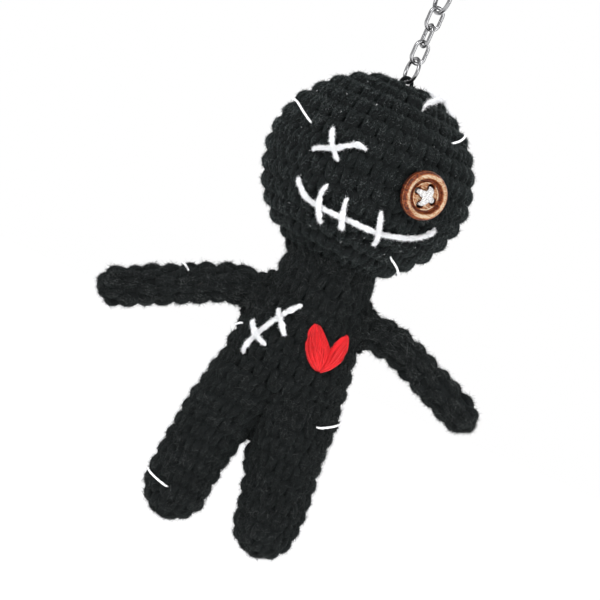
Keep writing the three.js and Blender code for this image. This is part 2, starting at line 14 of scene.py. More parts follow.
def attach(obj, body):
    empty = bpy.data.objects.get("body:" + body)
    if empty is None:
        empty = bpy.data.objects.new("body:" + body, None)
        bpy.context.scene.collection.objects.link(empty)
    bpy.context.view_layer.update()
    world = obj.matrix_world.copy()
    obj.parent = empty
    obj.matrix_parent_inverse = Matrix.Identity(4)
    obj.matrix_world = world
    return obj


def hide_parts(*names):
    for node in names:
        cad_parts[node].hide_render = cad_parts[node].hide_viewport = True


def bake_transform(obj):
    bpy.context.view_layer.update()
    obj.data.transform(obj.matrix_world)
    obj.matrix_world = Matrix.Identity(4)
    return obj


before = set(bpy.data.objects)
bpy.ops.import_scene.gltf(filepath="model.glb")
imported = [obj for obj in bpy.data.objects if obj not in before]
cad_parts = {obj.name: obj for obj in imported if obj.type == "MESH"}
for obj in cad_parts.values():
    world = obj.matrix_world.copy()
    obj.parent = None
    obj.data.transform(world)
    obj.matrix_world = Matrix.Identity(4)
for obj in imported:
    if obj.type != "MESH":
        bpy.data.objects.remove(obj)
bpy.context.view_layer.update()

MM = 0.001
OFF = np.array([0.0, 0.0, -71.9])
TAU = 2 * math.pi
rng = np.random.default_rng(41)

# ------------------------------------------------------------------ camera: frontal, rolled as the doll lies in the picture
ROLL = math.radians(23.7)
DIST = 2.0
cam_data = bpy.data.cameras.new("camera")
cam_data.sensor_width = 36.0
cam_data.lens = 36.0 * DIST / 0.1536
cam = bpy.data.objects.new("camera", cam_data)
bpy.context.scene.collection.objects.link(cam)
bpy.context.scene.camera = cam
right = Vector((math.cos(ROLL), 0.0, math.sin(ROLL)))
up = Vector((-math.sin(ROLL), 0.0, math.cos(ROLL)))
cam.matrix_world = Matrix((
    (right.x, up.x, 0.0, -2.64 * MM),
    (right.y, up.y, -1.0, -DIST),
    (right.z, up.z, 0.0, (-36.7 + OFF[2]) * MM),
    (0, 0, 0, 1)))
cam_data.clip_start, cam_data.clip_end = 0.05, 50.0


# ------------------------------------------------------------------ mesh helpers
def unit(v):
    n = np.linalg.norm(v, axis=-1, keepdims=True)
    return v / np.maximum(n, 1e-12)


def empty():
    return dict(v=np.zeros((0, 3)), f=[], uv=[], n=0)


def join(*parts):
    """Each part is (verts, [(faces, uv per corner), ...])."""
    verts, groups, base = [], [], 0
    for v, fs in parts:
        verts.append(v)
        for f, uv in fs:
            groups.append((f + base, uv))
        base += len(v)
    return np.concatenate(verts), groups


def tubes(C, N, R, sides, flat=1.0, plies=0, amp=0.0, pitch=4.0, cap=0.35, v0=0.0, phase=None):
    """Closed strands. C [K,M,3] centre lines, N [K,M,3] the way that is up, R [K,M] radii."""
    K, M, _ = C.shape
    T = np.empty_like(C)
    T[:, 1:-1] = C[:, 2:] - C[:, :-2]
    T[:, 0], T[:, -1] = C[:, 1] - C[:, 0], C[:, -1] - C[:, -2]
    T = unit(T)
    B = unit(np.cross(T, N))
    U = np.cross(B, T)
    seg = np.linalg.norm(np.diff(C, axis=1), axis=2)
    L = np.concatenate([np.zeros((K, 1)), np.cumsum(seg, axis=1)], axis=1) + v0
    a = TAU * np.arange(sides) / sides
    r = R[:, :, None] * np.ones(sides)
    if plies:
        ph = np.zeros(K) if phase is None else phase
        r = r * (1 + amp * np.cos(plies * (a[None, None, :] - TAU * L[:, :, None] / (pitch * plies)) + ph[:, None, None]))
    D = np.cos(a)[None, None, :, None] * U[:, :, None, :] * flat + np.sin(a)[None, None, :, None] * B[:, :, None, :]
    V = C[:, :, None, :] + r[..., None] * D
    p0 = C[:, 0] - T[:, 0] * R[:, :1] * cap
    p1 = C[:, -1] + T[:, -1] * R[:, -1:] * cap
    per = M * sides + 2
    verts = np.concatenate([V.reshape(K, M * sides, 3), p0[:, None], p1[:, None]], axis=1).reshape(-1, 3)
    m, i = np.meshgrid(np.arange(M - 1), np.arange(sides), indexing="ij")
    j = (i + 1) % sides
    q = np.stack([m * sides + i, m * sides + j, (m + 1) * sides + j, (m + 1) * sides + i], -1).reshape(-1, 4)
    q = q[:, ::-1]
    i1 = np.arange(sides)
    j1 = (i1 + 1) % sides
    t0 = np.stack([np.full(sides, M * sides), j1, i1], -1)[:, ::-1]
    t1 = np.stack([np.full(sides, M * sides + 1), (M - 1) * sides + i1, (M - 1) * sides + j1], -1)[:, ::-1]
    base = (np.arange(K) * per)[:, None, None]
    quads = (q[None] + base).reshape(-1, 4)
    tris = (np.concatenate([t0, t1])[None] + base).reshape(-1, 3)
    # corner UVs: u once round the strand, v along it in centimetres
    ui, uj = i / sides, (i + 1) / sides
    vq = L[:, m.ravel()] / 10
    vq1 = L[:, m.ravel() + 1] / 10
    uq = np.stack([np.broadcast_to(ui.ravel(), vq.shape), vq, np.broadcast_to(uj.ravel(), vq.shape), vq,
                   np.broadcast_to(uj.ravel(), vq.shape), vq1, np.broadcast_to(ui.ravel(), vq.shape), vq1], -1)
    uq = uq.reshape(-1, 4, 2)[:, ::-1]
    ut = np.zeros((K, 2 * sides, 3, 2))
    ut[..., 0] = np.concatenate([i1, i1])[None, :, None] / sides
    ut[:, sides:, :, 1] = L[:, -1][:, None, None] / 10
    return verts, [(quads, uq.reshape(-1, 2)), (tris, ut.reshape(-1, 2))]


def plied(C, N, R, seed, plies=3, pitch=3.4, sides=10):
    """One strand of yarn made of its plies, twisted round each other. C, N [M,3], R [M]."""
    g = np.random.default_rng(seed)
    T = unit(np.gradient(C, axis=0))
    B = unit(np.cross(T, N))
    U = np.cross(B, T)
    L = np.concatenate([[0], np.cumsum(np.linalg.norm(np.diff(C, axis=0), axis=1))])
    parts = []
    for k in range(plies):
        w = np.convolve(g.standard_normal(len(L) + 6), np.ones(7) / 7 ** 0.5, mode="valid")
        w2 = np.convolve(g.standard_normal(len(L) + 2), np.ones(3) / 3 ** 0.5, mode="valid")
        a = TAU * (L / pitch + k / plies) + 0.16 * w
        o = R * (0.50 + 0.07 * w2)
        c = C + (np.cos(a) * o)[:, None] * U * 0.85 + (np.sin(a) * o)[:, None] * B
        r = R * (0.56 + 0.06 * w2)
        parts.append(tubes(c[None], N[None], r[None], sides, cap=0.6))
    return join(*parts)


def spikes(P, D, L, W, bend):
    """Fine closed fibres: roots P, directions D, lengths L, root widths W, sideways bend [K,3]."""
    K = len(P)
    D = unit(D)
    A = unit(np.cross(D, D[:, [1, 2, 0]] + 0.31))
    B = np.cross(D, A)
    a = TAU * np.arange(3) / 3
    ring = np.cos(a)[None, :, None] * A[:, None] + np.sin(a)[None, :, None] * B[:, None]
    root = P - D * 0.15
    mid = P + D * (0.5 * L)[:, None] + bend * (0.22 * L)[:, None]
    tip = P + D * (0.92 * L)[:, None] + bend * (0.75 * L)[:, None]
    r0 = root[:, None] + ring * W[:, None, None]
    r1 = mid[:, None] + ring * (0.75 * W)[:, None, None]
    verts = np.concatenate([r0, r1, tip[:, None]], axis=1).reshape(-1, 3)
    tri = [[0, 2, 1]]
    for k in range(3):
        n = (k + 1) % 3
        tri += [[k, n, 3 + n], [k, 3 + n, 3 + k], [3 + k, 3 + n, 6]]
    tri = np.array(tri)
    tris = (tri[None] + (np.arange(K) * 7)[:, None, None]).reshape(-1, 3)
    return verts, [(tris, np.full((tris.size, 2), 0.5))]


def nap(P, D, L, W, g):
    """Short straight fibres, each a thin closed tetrahedron. Their UV is one random number each, for the dye."""
    K = len(P)
    D = unit(D)
    A = unit(np.cross(D, D[:, [1, 2, 0]] + 0.31))
    B = np.cross(D, A)
    a = TAU * np.arange(3) / 3
    ring = np.cos(a)[None, :, None] * A[:, None] + np.sin(a)[None, :, None] * B[:, None]
    root = (P - D * 0.1)[:, None] + ring * W[:, None, None]
    verts = np.concatenate([root, (P + D * L[:, None])[:, None]], axis=1).reshape(-1, 3)
    tri = np.array([[0, 2, 1], [0, 1, 3], [1, 2, 3], [2, 0, 3]])
    tris = (tri[None] + (np.arange(K) * 4)[:, None, None]).reshape(-1, 3)
    uv = np.repeat(np.stack([g.uniform(0, 1, K), g.uniform(0, 1, K)], -1), 12, axis=0)
    return verts, [(tris, uv)]


def grid(P, closed_u=True, flip=False, pole0=False, pole1=False):
    """A quad mesh over P [S,U,3]; pole0 and pole1 close the first and last row to a point."""
    S, U, _ = P.shape
    verts = P.reshape(-1, 3)
    s, u = np.meshgrid(np.arange(S - 1), np.arange(U if closed_u else U - 1), indexing="ij")
    n = (u + 1) % U
    q = np.stack([s * U + u, s * U + n, (s + 1) * U + n, (s + 1) * U + u], -1).reshape(-1, 4)
    uv = np.stack([u / U, s / S, (u + 1) / U, s / S, (u + 1) / U, (s + 1) / S, u / U, (s + 1) / S], -1).reshape(-1, 4, 2)
    if flip:
        q, uv = q[:, ::-1], uv[:, ::-1]
    out = [(q, uv.reshape(-1, 2))]
    extra, k = [], len(verts)
    u1 = np.arange(U)
    n1 = (u1 + 1) % U
    if pole0:
        extra.append(P[0].mean(0)); t = np.stack([np.full(U, k), n1, u1], -1); k += 1
        out.append((t[:, ::-1] if flip else t, np.full((3 * U, 2), 0.5)))
    if pole1:
        extra.append(P[-1].mean(0)); t = np.stack([np.full(U, k), (S - 1) * U + u1, (S - 1) * U + n1], -1); k += 1
        out.append((t[:, ::-1] if flip else t, np.full((3 * U, 2), 0.5)))
    if extra:
        verts = np.concatenate([verts, np.array(extra)])
    return verts, out


def make(name, part, material, smooth=True, attributes=None):
    v, groups = part
    me = bpy.data.meshes.new(name)
    me.vertices.add(len(v))
    me.vertices.foreach_set("co", ((v + OFF) * MM).astype(np.float32).ravel())
    loops = np.concatenate([f.ravel() for f, _ in groups]).astype(np.int32)
    sizes = np.concatenate([np.full(len(f), f.shape[1]) for f, _ in groups])
    starts = np.concatenate([[0], np.cumsum(sizes)[:-1]]).astype(np.int32)
    me.loops.add(len(loops))
    me.loops.foreach_set("vertex_index", loops)
    me.polygons.add(len(sizes))
    me.polygons.foreach_set("loop_start", starts)
    me.polygons.foreach_set("use_smooth", np.full(len(sizes), smooth))
    me.update(calc_edges=True)
    layer = me.uv_layers.new(name="UVMap")
    layer.data.foreach_set("uv", np.concatenate([uv for _, uv in groups]).astype(np.float32).ravel())
    for key, values in (attributes or {}).items():
        at = me.attributes.new(key, "FLOAT", "POINT")
        at.data.foreach_set("value", values.astype(np.float32))
    me.validate()
    for m in (material if isinstance(material, list) else [material]):
        me.materials.append(m)
    ob = bpy.data.objects.new(name, me)
    bpy.context.scene.collection.objects.link(ob)
    return ob


# ------------------------------------------------------------------ the doll's surfaces
HEAD_A, HEAD_DEPTH, HEAD_TOP, HEAD_LOW, HEAD_X = 27.3, 0.908, 25.3, 26.6, 0.38
TORSO = np.array([
    [-20.0, 0.9, 11.2, 10.6], [-26.2, 1.25, 11.9, 11.0], [-30.0, 1.3, 13.1, 11.0], [-35.0, 1.1, 13.8, 11.0], [-40.0, 1.05, 15.1, 11.3],
    [-45.0, 0.95, 16.3, 11.6], [-50.0, 1.2, 17.0, 11.8], [-57.0, 1.4, 17.8, 11.8], [-65.0, 1.05, 18.85, 11.2],
    [-72.0, 0.65, 19.55, 9.8], [-78.0, 0.4, 19.8, 9.2]])
LEFT_LEG = np.array([[-60.0, -10.5, 8.9, 9.2], [-73.5, -10.5, 8.9, 9.2], [-80.0, -11.3, 8.45, 9.0], [-90.0, -11.95, 8.45, 8.5], [-93.0, -12.1, 8.25, 8.3], [-102, -12.2, 8.15, 8.3]])
RIGHT_LEG = np.array([[-60.0, 10.1, 10.3, 9.2], [-73.5, 10.15, 10.35, 9.2], [-80.0, 10.75, 9.75, 9.1], [-90.0, 11.85, 8.5, 8.7], [-93.0, 12.15, 8.2, 8.5], [-102, 12.25, 8.2, 8.5]])
FOOT_Z, FOOT_H = -93.0, 8.3
LEFT_ARM = dict(r=5.02, root=0.95, drop=0.2, line=[(-18.0, -39.05), (-23.5, -41.0), (-30.9, -44.65), (-38.8, -48.6), (-46.5, -52.45)])
RIGHT_ARM = dict(r=4.6, root=0.97, drop=0.0, line=[(18.75, -36.6), (24.0, -37.6), (30.1, -39.9), (36.6, -43.0), (46.5, -47.3)])


def table(rows):
    zs = rows[::-1, 0]
    return lambda z: [np.interp(z, zs, rows[::-1, k]) for k in (1, 2, 3)]


def leg_table(rows):
    base = table(rows)

    def sec(z):
        cx, hw, hd = base(z)
        k = np.where(z > FOOT_Z, 1.0, np.sqrt(np.clip(1 - ((z - FOOT_Z) / FOOT_H) ** 2, 0, 1)))
        return [cx, hw * k, hd * k]
    return sec


def head_x(z):
    """The head's middle: it sits a little to one side above the neck."""
    k = np.clip((-7.0 - z) / 11.0, 0, 1)
    return HEAD_X - 0.5 * k * k * (3 - 2 * k)


def head_sec(z):
    z = np.asarray(z, float)
    k = np.sqrt(np.clip(1 - (z / np.where(z > 0, HEAD_TOP, HEAD_LOW)) ** 2, 0, 1))
    return [head_x(z), HEAD_A * k, HEAD_A * HEAD_DEPTH * k]


torso_sec, left_leg_sec, right_leg_sec = table(TORSO), leg_table(LEFT_LEG), leg_table(RIGHT_LEG)


def on(sec, z, phi, off=0.0):
    """A point off a section's surface, and the way out there. phi 0 is the front, positive to the viewer's right."""
    z, phi = np.asarray(z, float), np.asarray(phi, float)

    def at(zz, f):
        cx, hw, hd = sec(zz)
        return np.stack([cx + hw * np.sin(f), -hd * np.cos(f), zz + 0 * f], -1)
    e = 1e-3
    n = unit(np.cross(at(z, phi + e) - at(z, phi - e), at(z + e, phi) - at(z - e, phi)))
    return at(z, phi) + n * np.asarray(off)[..., None], n


def front_phi(sec, x, z):
    cx, hw, _ = sec(np.asarray(z, float))
    return np.arcsin(np.clip((x - cx) / hw, -0.9999, 0.9999))


class Surface:
    """Rings of points at equal steps of arc, u from the back, s in millimetres along the piece."""

    def __init__(self, rings, U=192):
        out = []
        for ring in rings:
            ring = np.concatenate([ring, ring[:1]])
            L = np.concatenate([[0], np.cumsum(np.linalg.norm(np.diff(ring, axis=0), axis=1))])
            t = np.linspace(0, L[-1], U, endpoint=False)
            out.append(np.stack([np.interp(t, L, ring[:, k]) for k in range(3)], -1))
        self.G = np.array(out)
        step = np.linalg.norm(np.diff(self.G, axis=0), axis=2).mean(1)
        self.s = np.concatenate([[0], np.cumsum(step)])
        self.length = self.s[-1]
        self.round = np.linalg.norm(self.G - np.roll(self.G, 1, axis=1), axis=2).sum(1)
        self.U = U
        self.turn()

    def turn(self):
        du = np.roll(self.G, -1, axis=1) - np.roll(self.G, 1, axis=1)
        ds = np.gradient(self.G, axis=0)
        N = unit(np.cross(du, ds))
        c = self.G.mean(1, keepdims=True)
        if ((self.G - c) * N).sum() < 0:
            N = -N
        self.N = N

    def circ(self, s):
        return np.interp(s, self.s, self.round)

    def at(self, s, u):
        s = np.clip(s, 0, self.length)
        i = np.clip(np.searchsorted(self.s, s, side="right") - 1, 0, len(self.s) - 2)
        fs = (s - self.s[i]) / np.maximum(self.s[i + 1] - self.s[i], 1e-9)
        x = (u % 1.0) * self.U
        j = np.floor(x).astype(int) % self.U
        fu = (x - np.floor(x))[..., None]
        k = (j + 1) % self.U
        fs = fs[..., None]

        def pick(A):
            return (A[i, j] * (1 - fu) + A[i, k] * fu) * (1 - fs) + (A[i + 1, j] * (1 - fu) + A[i + 1, k] * fu) * fs
        return pick(self.G), unit(pick(self.N))


PHI = np.pi + np.linspace(0, TAU, 360, endpoint=False)          # from the back, round by the viewer's right


def head_surface():
    rings = []
    for t in np.concatenate([np.linspace(89.5, 0, 60), np.linspace(-1.5, -66, 46)]):
        t = math.radians(t)
        z = (HEAD_TOP if t > 0 else HEAD_LOW) * math.sin(t)
        r = HEAD_A * math.cos(t)
        dip = 1.7 * math.exp(-(r / 3.6) ** 2)
        rings.append(np.stack([head_x(z) + r * np.sin(PHI), -HEAD_DEPTH * r * np.cos(PHI), np.full(PHI.shape, z - dip)], -1))
    return Surface(rings)


def torso_surface():
    rings = []
    for z in np.linspace(-22.5, -75.5, 90):
        cx, hw, hd = torso_sec(z)
        x = hw * np.sin(PHI)
        k = np.clip((-60 - z) / 14, 0, 1)
        crease = 1 - 0.46 * k * k * (3 - 2 * k) * np.exp(-((x + cx + 0.6) / (2.6 + 2.0 * (1 - k))) ** 2)
        sag = 0.012 * hw * np.sin(3 * PHI + z * 0.1)
        rings.append(np.stack([cx + x + sag * np.sin(PHI), -hd * np.cos(PHI) * crease, np.full(PHI.shape, z)], -1))
    # turn in under the body between the legs
    last = rings[-1]
    c = last.mean(0)
    for a in (25, 50, 70, 85):
        a = math.radians(a)
        k = 1 - 0.16 * (1 - math.cos(a)) * 2
        ring = c + (last - c) * np.array([k, k, 1])
        ring[:, 2] = last[:, 2] - 1.6 * math.sin(a)
        rings.append(ring)
    return Surface(rings)


def leg_surface(sec, hips):
    """A leg and its half of the body's lower part. hips rows are z, centre x, half width, half depth; the two halves
    run into each other like two overlapping ovals, which leaves the crease between them."""
    rows = np.array(hips)
    zs = np.concatenate([np.linspace(rows[0, 0], FOOT_Z, 70), FOOT_Z - FOOT_H * np.sin(np.radians(np.linspace(2, 88.5, 34)))])
    rings = []
    for z in zs:
        cx, hw, hd = sec(np.float64(z))
        if z > rows[-1, 0]:
            cx, hw, hd = (np.interp(-z, -rows[:, 0], rows[:, k]) for k in (1, 2, 3))
        rings.append(np.stack([cx + hw * np.sin(PHI), -hd * np.cos(PHI), np.full(PHI.shape, z)], -1))
    return Surface(rings, 144)


LEFT_HIP = [(-59.0, -5.4, 12.0, 11.5), (-63.0, -6.3, 11.3, 11.3), (-67.0, -7.8, 10.3, 10.8), (-71.0, -9.3, 9.5, 10.0), (-75.0, -10.4, 8.9, 9.3), (-78.0, -11.05, 8.6, 9.05)]
RIGHT_HIP = [(-59.0, 7.1, 12.6, 11.5), (-63.0, 7.75, 12.15, 11.3), (-67.0, 8.55, 11.45, 10.8), (-71.0, 9.45, 10.65, 10.0), (-75.0, 10.2, 10.15, 9.3), (-78.0, 10.6, 9.9, 9.1)]


def smooth_line(pts, n):
    """A centripetal Catmull-Rom line through pts, as n points at equal steps."""
    pts = np.asarray(pts, float)
    P = np.concatenate([[2 * pts[0] - pts[1]], pts, [2 * pts[-1] - pts[-2]]])
    out = []
    for i in range(1, len(P) - 2):
        p0, p1, p2, p3 = P[i - 1:i + 3]
        t0 = 0.0
        t1 = t0 + max(np.linalg.norm(p1 - p0), 1e-9) ** 0.5
        t2 = t1 + max(np.linalg.norm(p2 - p1), 1e-9) ** 0.5
        t3 = t2 + max(np.linalg.norm(p3 - p2), 1e-9) ** 0.5
        t = np.linspace(t1, t2, 24, endpoint=(i == len(P) - 3))[:, None]
        A1 = (t1 - t) / (t1 - t0) * p0 + (t - t0) / (t1 - t0) * p1
        A2 = (t2 - t) / (t2 - t1) * p1 + (t - t1) / (t2 - t1) * p2
        A3 = (t3 - t) / (t3 - t2) * p2 + (t - t2) / (t3 - t2) * p3
        B1 = (t2 - t) / (t2 - t0) * A1 + (t - t0) / (t2 - t0) * A2
        B2 = (t3 - t) / (t3 - t1) * A2 + (t - t1) / (t3 - t1) * A3
        out.append((t2 - t) / (t2 - t1) * B1 + (t - t1) / (t2 - t1) * B2)
    line = np.concatenate(out)
    L = np.concatenate([[0], np.cumsum(np.linalg.norm(np.diff(line, axis=0), axis=1))])
    t = np.linspace(0, L[-1], n)
    return np.stack([np.interp(t, L, line[:, k]) for k in range(line.shape[1])], -1)


def arm_surface(arm, inside):
    pts = np.array([(x, 0.0, z) for x, z in arm["line"]])
    root = pts[0] + unit(pts[0] - pts[1]) * inside
    root[2] = pts[0][2] + 0.15 * (root[2] - pts[0][2])
    line = smooth_line(np.concatenate([[root], pts]), 60)
    T = unit(np.gradient(line, axis=0))
    rings, r = [], arm["r"]
    out = np.linspace(0, 1, len(line)) * np.linalg.norm(np.diff(line, axis=0), axis=1).sum()
    for c, t, d in zip(line, T, out):
        n = np.array([-t[2], 0, t[0]])
        k = np.clip((d - 1.0) / 8.0, 0, 1)
        k = k * k * (3 - 2 * k)
        c = c - np.array([0, 0, arm["drop"]]) * (1 - k)
        rings.append(c + r * (arm["root"] + (1 - arm["root"]) * k) * (np.sin(PHI)[:, None] * n + -np.cos(PHI)[:, None] * np.array([0, 1.0, 0])))
    c, t = line[-1], T[-1]
    n = np.array([-t[2], 0, t[0]])
    for a in np.linspace(4, 88.5, 24):
        a = math.radians(a)
        rings.append(c + t * r * math.sin(a) + r * math.cos(a) * (np.sin(PHI)[:, None] * n - np.cos(PHI)[:, None] * np.array([0, 1.0, 0])))
    return Surface(rings, 96), line, T


# ------------------------------------------------------------------ crochet
def crochet(surf, s0, s1, pitch, gauge, seed, last=0.3, relief=1.0, slant=0.15):
    """A spiral of single crochet between s0 and s1: the two legs of every stitch's V, which arch over their row and
    dive between the rows, and the strand that runs along between the rows. Returns the mesh parts and what the fuzz
    grows on."""
    g = np.random.default_rng(seed)
    S, Uc, W, Pp = [], [], [], []
    bs, bu = [], []
    s, phase = s0, 0.0
    while s < s1 - 0.2 * pitch:
        c = surf.circ(np.clip(s + 0.5 * pitch, 0, surf.length))
        n = max(5, int(round(c / gauge)))
        j = np.arange(n)
        S.append(s + pitch * (j + 0.5) / n)
        Uc.append((j + 0.5) / n + phase)
        W.append(np.full(n, c / n))
        Pp.append(np.full(n, pitch))
        jj = np.arange(n * 4)
        bs.append(s + pitch * (jj / (4 * n)) + 0.5 * pitch)
        bu.append(jj / (4 * n) + phase)
        s += pitch
        phase += slant / n
    S, Uc, W, Pp = map(np.concatenate, (S, Uc, W, Pp))
    keep = S < s1 + last * pitch
    S, Uc, W, Pp = S[keep], Uc[keep], W[keep], Pp[keep]
    K = len(S)
    M = 10
    t = np.linspace(0, 1, M)[None, :]
    parts, roots = [], []
    for side in (-1.0, 1.0):
        r0 = np.minimum(W * 0.29, 1.32)[:, None] * (1 + 0.06 * g.standard_normal((K, 1)))
        wob = 0.04 * g.standard_normal((K, 1)) * np.sin(np.pi * t)
        a = side * W[:, None] * (0.115 + 0.255 * t ** 0.9 + 0.04 * np.sin(np.pi * t) + wob)
        b = Pp[:, None] * (-0.55 + 1.08 * t + 0.025 * g.standard_normal((K, 1)))
        arch = np.sin(np.pi * (0.03 + 0.94 * t)) ** 0.8
        lift = r0 * (-0.63 - 1.25 * relief * (1 - arch)) + 0.10 * g.standard_normal((K, 1)) * arch
        ss = np.clip(S[:, None] + b, 0.02, surf.length - 0.02)
        P, N = surf.at(ss, Uc[:, None] + a / np.maximum(surf.circ(ss), 3.0))
        C = P + N * lift[..., None]
        R = r0 * (0.66 + 0.34 * np.sin(np.pi * (0.05 + 0.88 * t)) ** 0.8) * (1 + 0.03 * g.standard_normal((K, M)))
        ph = g.uniform(0, TAU, K)
        parts.append(tubes(C, N, R, 11, flat=0.92, plies=3, amp=0.06, pitch=5.5, phase=ph))
        roots.append((C, N, R))
    # the strand between the rows
    bs, bu = np.concatenate(bs), np.concatenate(bu)
    keep = (bs < s1) & (bs < surf.length - 0.4)
    bs, bu = bs[keep], bu[keep]
    P, N = surf.at(bs, bu)
    wav = 0.12 * np.sin(np.arange(len(bs)) * np.pi / 2)
    C = P + N * (-0.75 - 0.85 * relief + wav)[:, None]
    parts.append(tubes(C[None], N[None], np.full((1, len(bs)), 0.78), 8, plies=3, amp=0.05, pitch=5.5))
    return parts, roots


def fabric(surf, s0, s1, deep, thick, open0, open1, nu=72, ns=60):
    """The dense inside of the fabric behind the stitches, as a closed shell with its real openings."""
    ss = np.linspace(s0, s1, ns)[:, None]
    uu = (np.arange(nu) / nu)[None, :]
    P, N = surf.at(ss + 0 * uu, uu + 0 * ss)
    deep = (deep(ss) if callable(deep) else np.full(ss.shape, deep))[..., None]
    if not open1:
        deep = deep - 1.15 * np.clip((ss[..., None] - (s1 - 4.5)) / 3.5, 0, 1)
    if not open0:
        deep = deep - 1.15 * np.clip(((s0 + 4.5) - ss[..., None]) / 3.5, 0, 1)
    outer = P - N * deep
    inner = P - N * (deep + thick)
    if open0 and open1:
        G = np.concatenate([outer, inner[::-1], outer[:1]])
        v, f = grid(G)
        last = (len(G) - 1) * nu
        f = [(np.where(q >= last, q - last, q), uv) for q, uv in f]
        return v[:last], f
    if open1:
        return grid(np.concatenate([outer, inner[::-1]]), pole0=True, pole1=True)
    return grid(np.concatenate([outer[::-1], inner]), pole0=True, pole1=True, flip=True)


def on_strands(roots, count, g, spread):
    C = np.concatenate([r[0] for r in roots])
    N = np.concatenate([r[1] for r in roots])
    R = np.concatenate([r[2] for r in roots])
    K, M, _ = C.shape
    k = g.integers(0, K, count)
    x = 1 + (M - 3.001) * g.uniform(0, 1, count)
    m = np.floor(x).astype(int)
    f = (x - m)[:, None]
    c = C[k, m] * (1 - f) + C[k, m + 1] * f
    n = unit(N[k, m] * (1 - f) + N[k, m + 1] * f)
    r = R[k, m]
    t = unit(C[k, m + 1] - C[k, m - 1])
    b = unit(np.cross(t, n))
    a = np.clip(g.normal(0, spread, count), -1.9, 1.9)
    d = unit(n * np.cos(a)[:, None] + b * np.sin(a)[:, None])
    return c + d * (r * 0.88)[:, None], d, t


def fuzz(roots, count, seed, length=1.0, width=0.03, side=0.75):
    """Loose curved hairs."""
    g = np.random.default_rng(seed)
    P, d, t = on_strands(roots, count, g, 0.75)
    D = unit(d * 0.8 + g.standard_normal((count, 3)) * side * 0.55 + t * g.normal(0, 0.5, (count, 1)))
    L = length * np.clip(g.lognormal(-0.25, 0.45, count), 0.3, 2.2)
    W = width * g.uniform(0.7, 1.3, count)
    bend = unit(g.standard_normal((count, 3)) + np.array([0, 0, -0.3])) * g.uniform(0.1, 0.6, (count, 1))
    return spikes(P, D, L, W, bend)


def down(roots, count, seed, length=0.9, width=0.047, flat=0.33, bare=()):
    """The yarn's dense nap: fibres that mostly lie along the surface and bridge from strand to strand."""
    g = np.random.default_rng(seed)
    P, d, t = on_strands(roots, count, g, 0.8)
    for centre, reach in bare:
        far = np.linalg.norm(P - centre, axis=1) > reach
        P, d, t = P[far], d[far], t[far]
    count = len(P)
    J = g.standard_normal((count, 3))
    J = J - d * (J * d).sum(-1, keepdims=True)
    D = unit(J) + d * np.abs(g.normal(flat, 0.3, count))[:, None]
    L = length * np.clip(g.lognormal(-0.1, 0.4, count), 0.35, 2.0)
    return nap(P, D, L, width * g.uniform(0.7, 1.4, count), g)


# ------------------------------------------------------------------ materials
def nodes_of(mat):
    mat.use_nodes = True
    nt = mat.node_tree
    nt.nodes.clear()
    out = nt.nodes.new("ShaderNodeOutputMaterial")
    bsdf = nt.nodes.new("ShaderNodeBsdfPrincipled")
    nt.links.new(bsdf.outputs[0], out.inputs[0])
    return nt, bsdf


def node(nt, kind, **values):
    n = nt.nodes.new(kind)
    for k, v in values.items():
        if k.startswith("in_"):
            key = k[3:]
            n.inputs[int(key) if key.isdigit() else key.replace("_", " ")].default_value = v
        else:
            setattr(n, k, v)
    return n


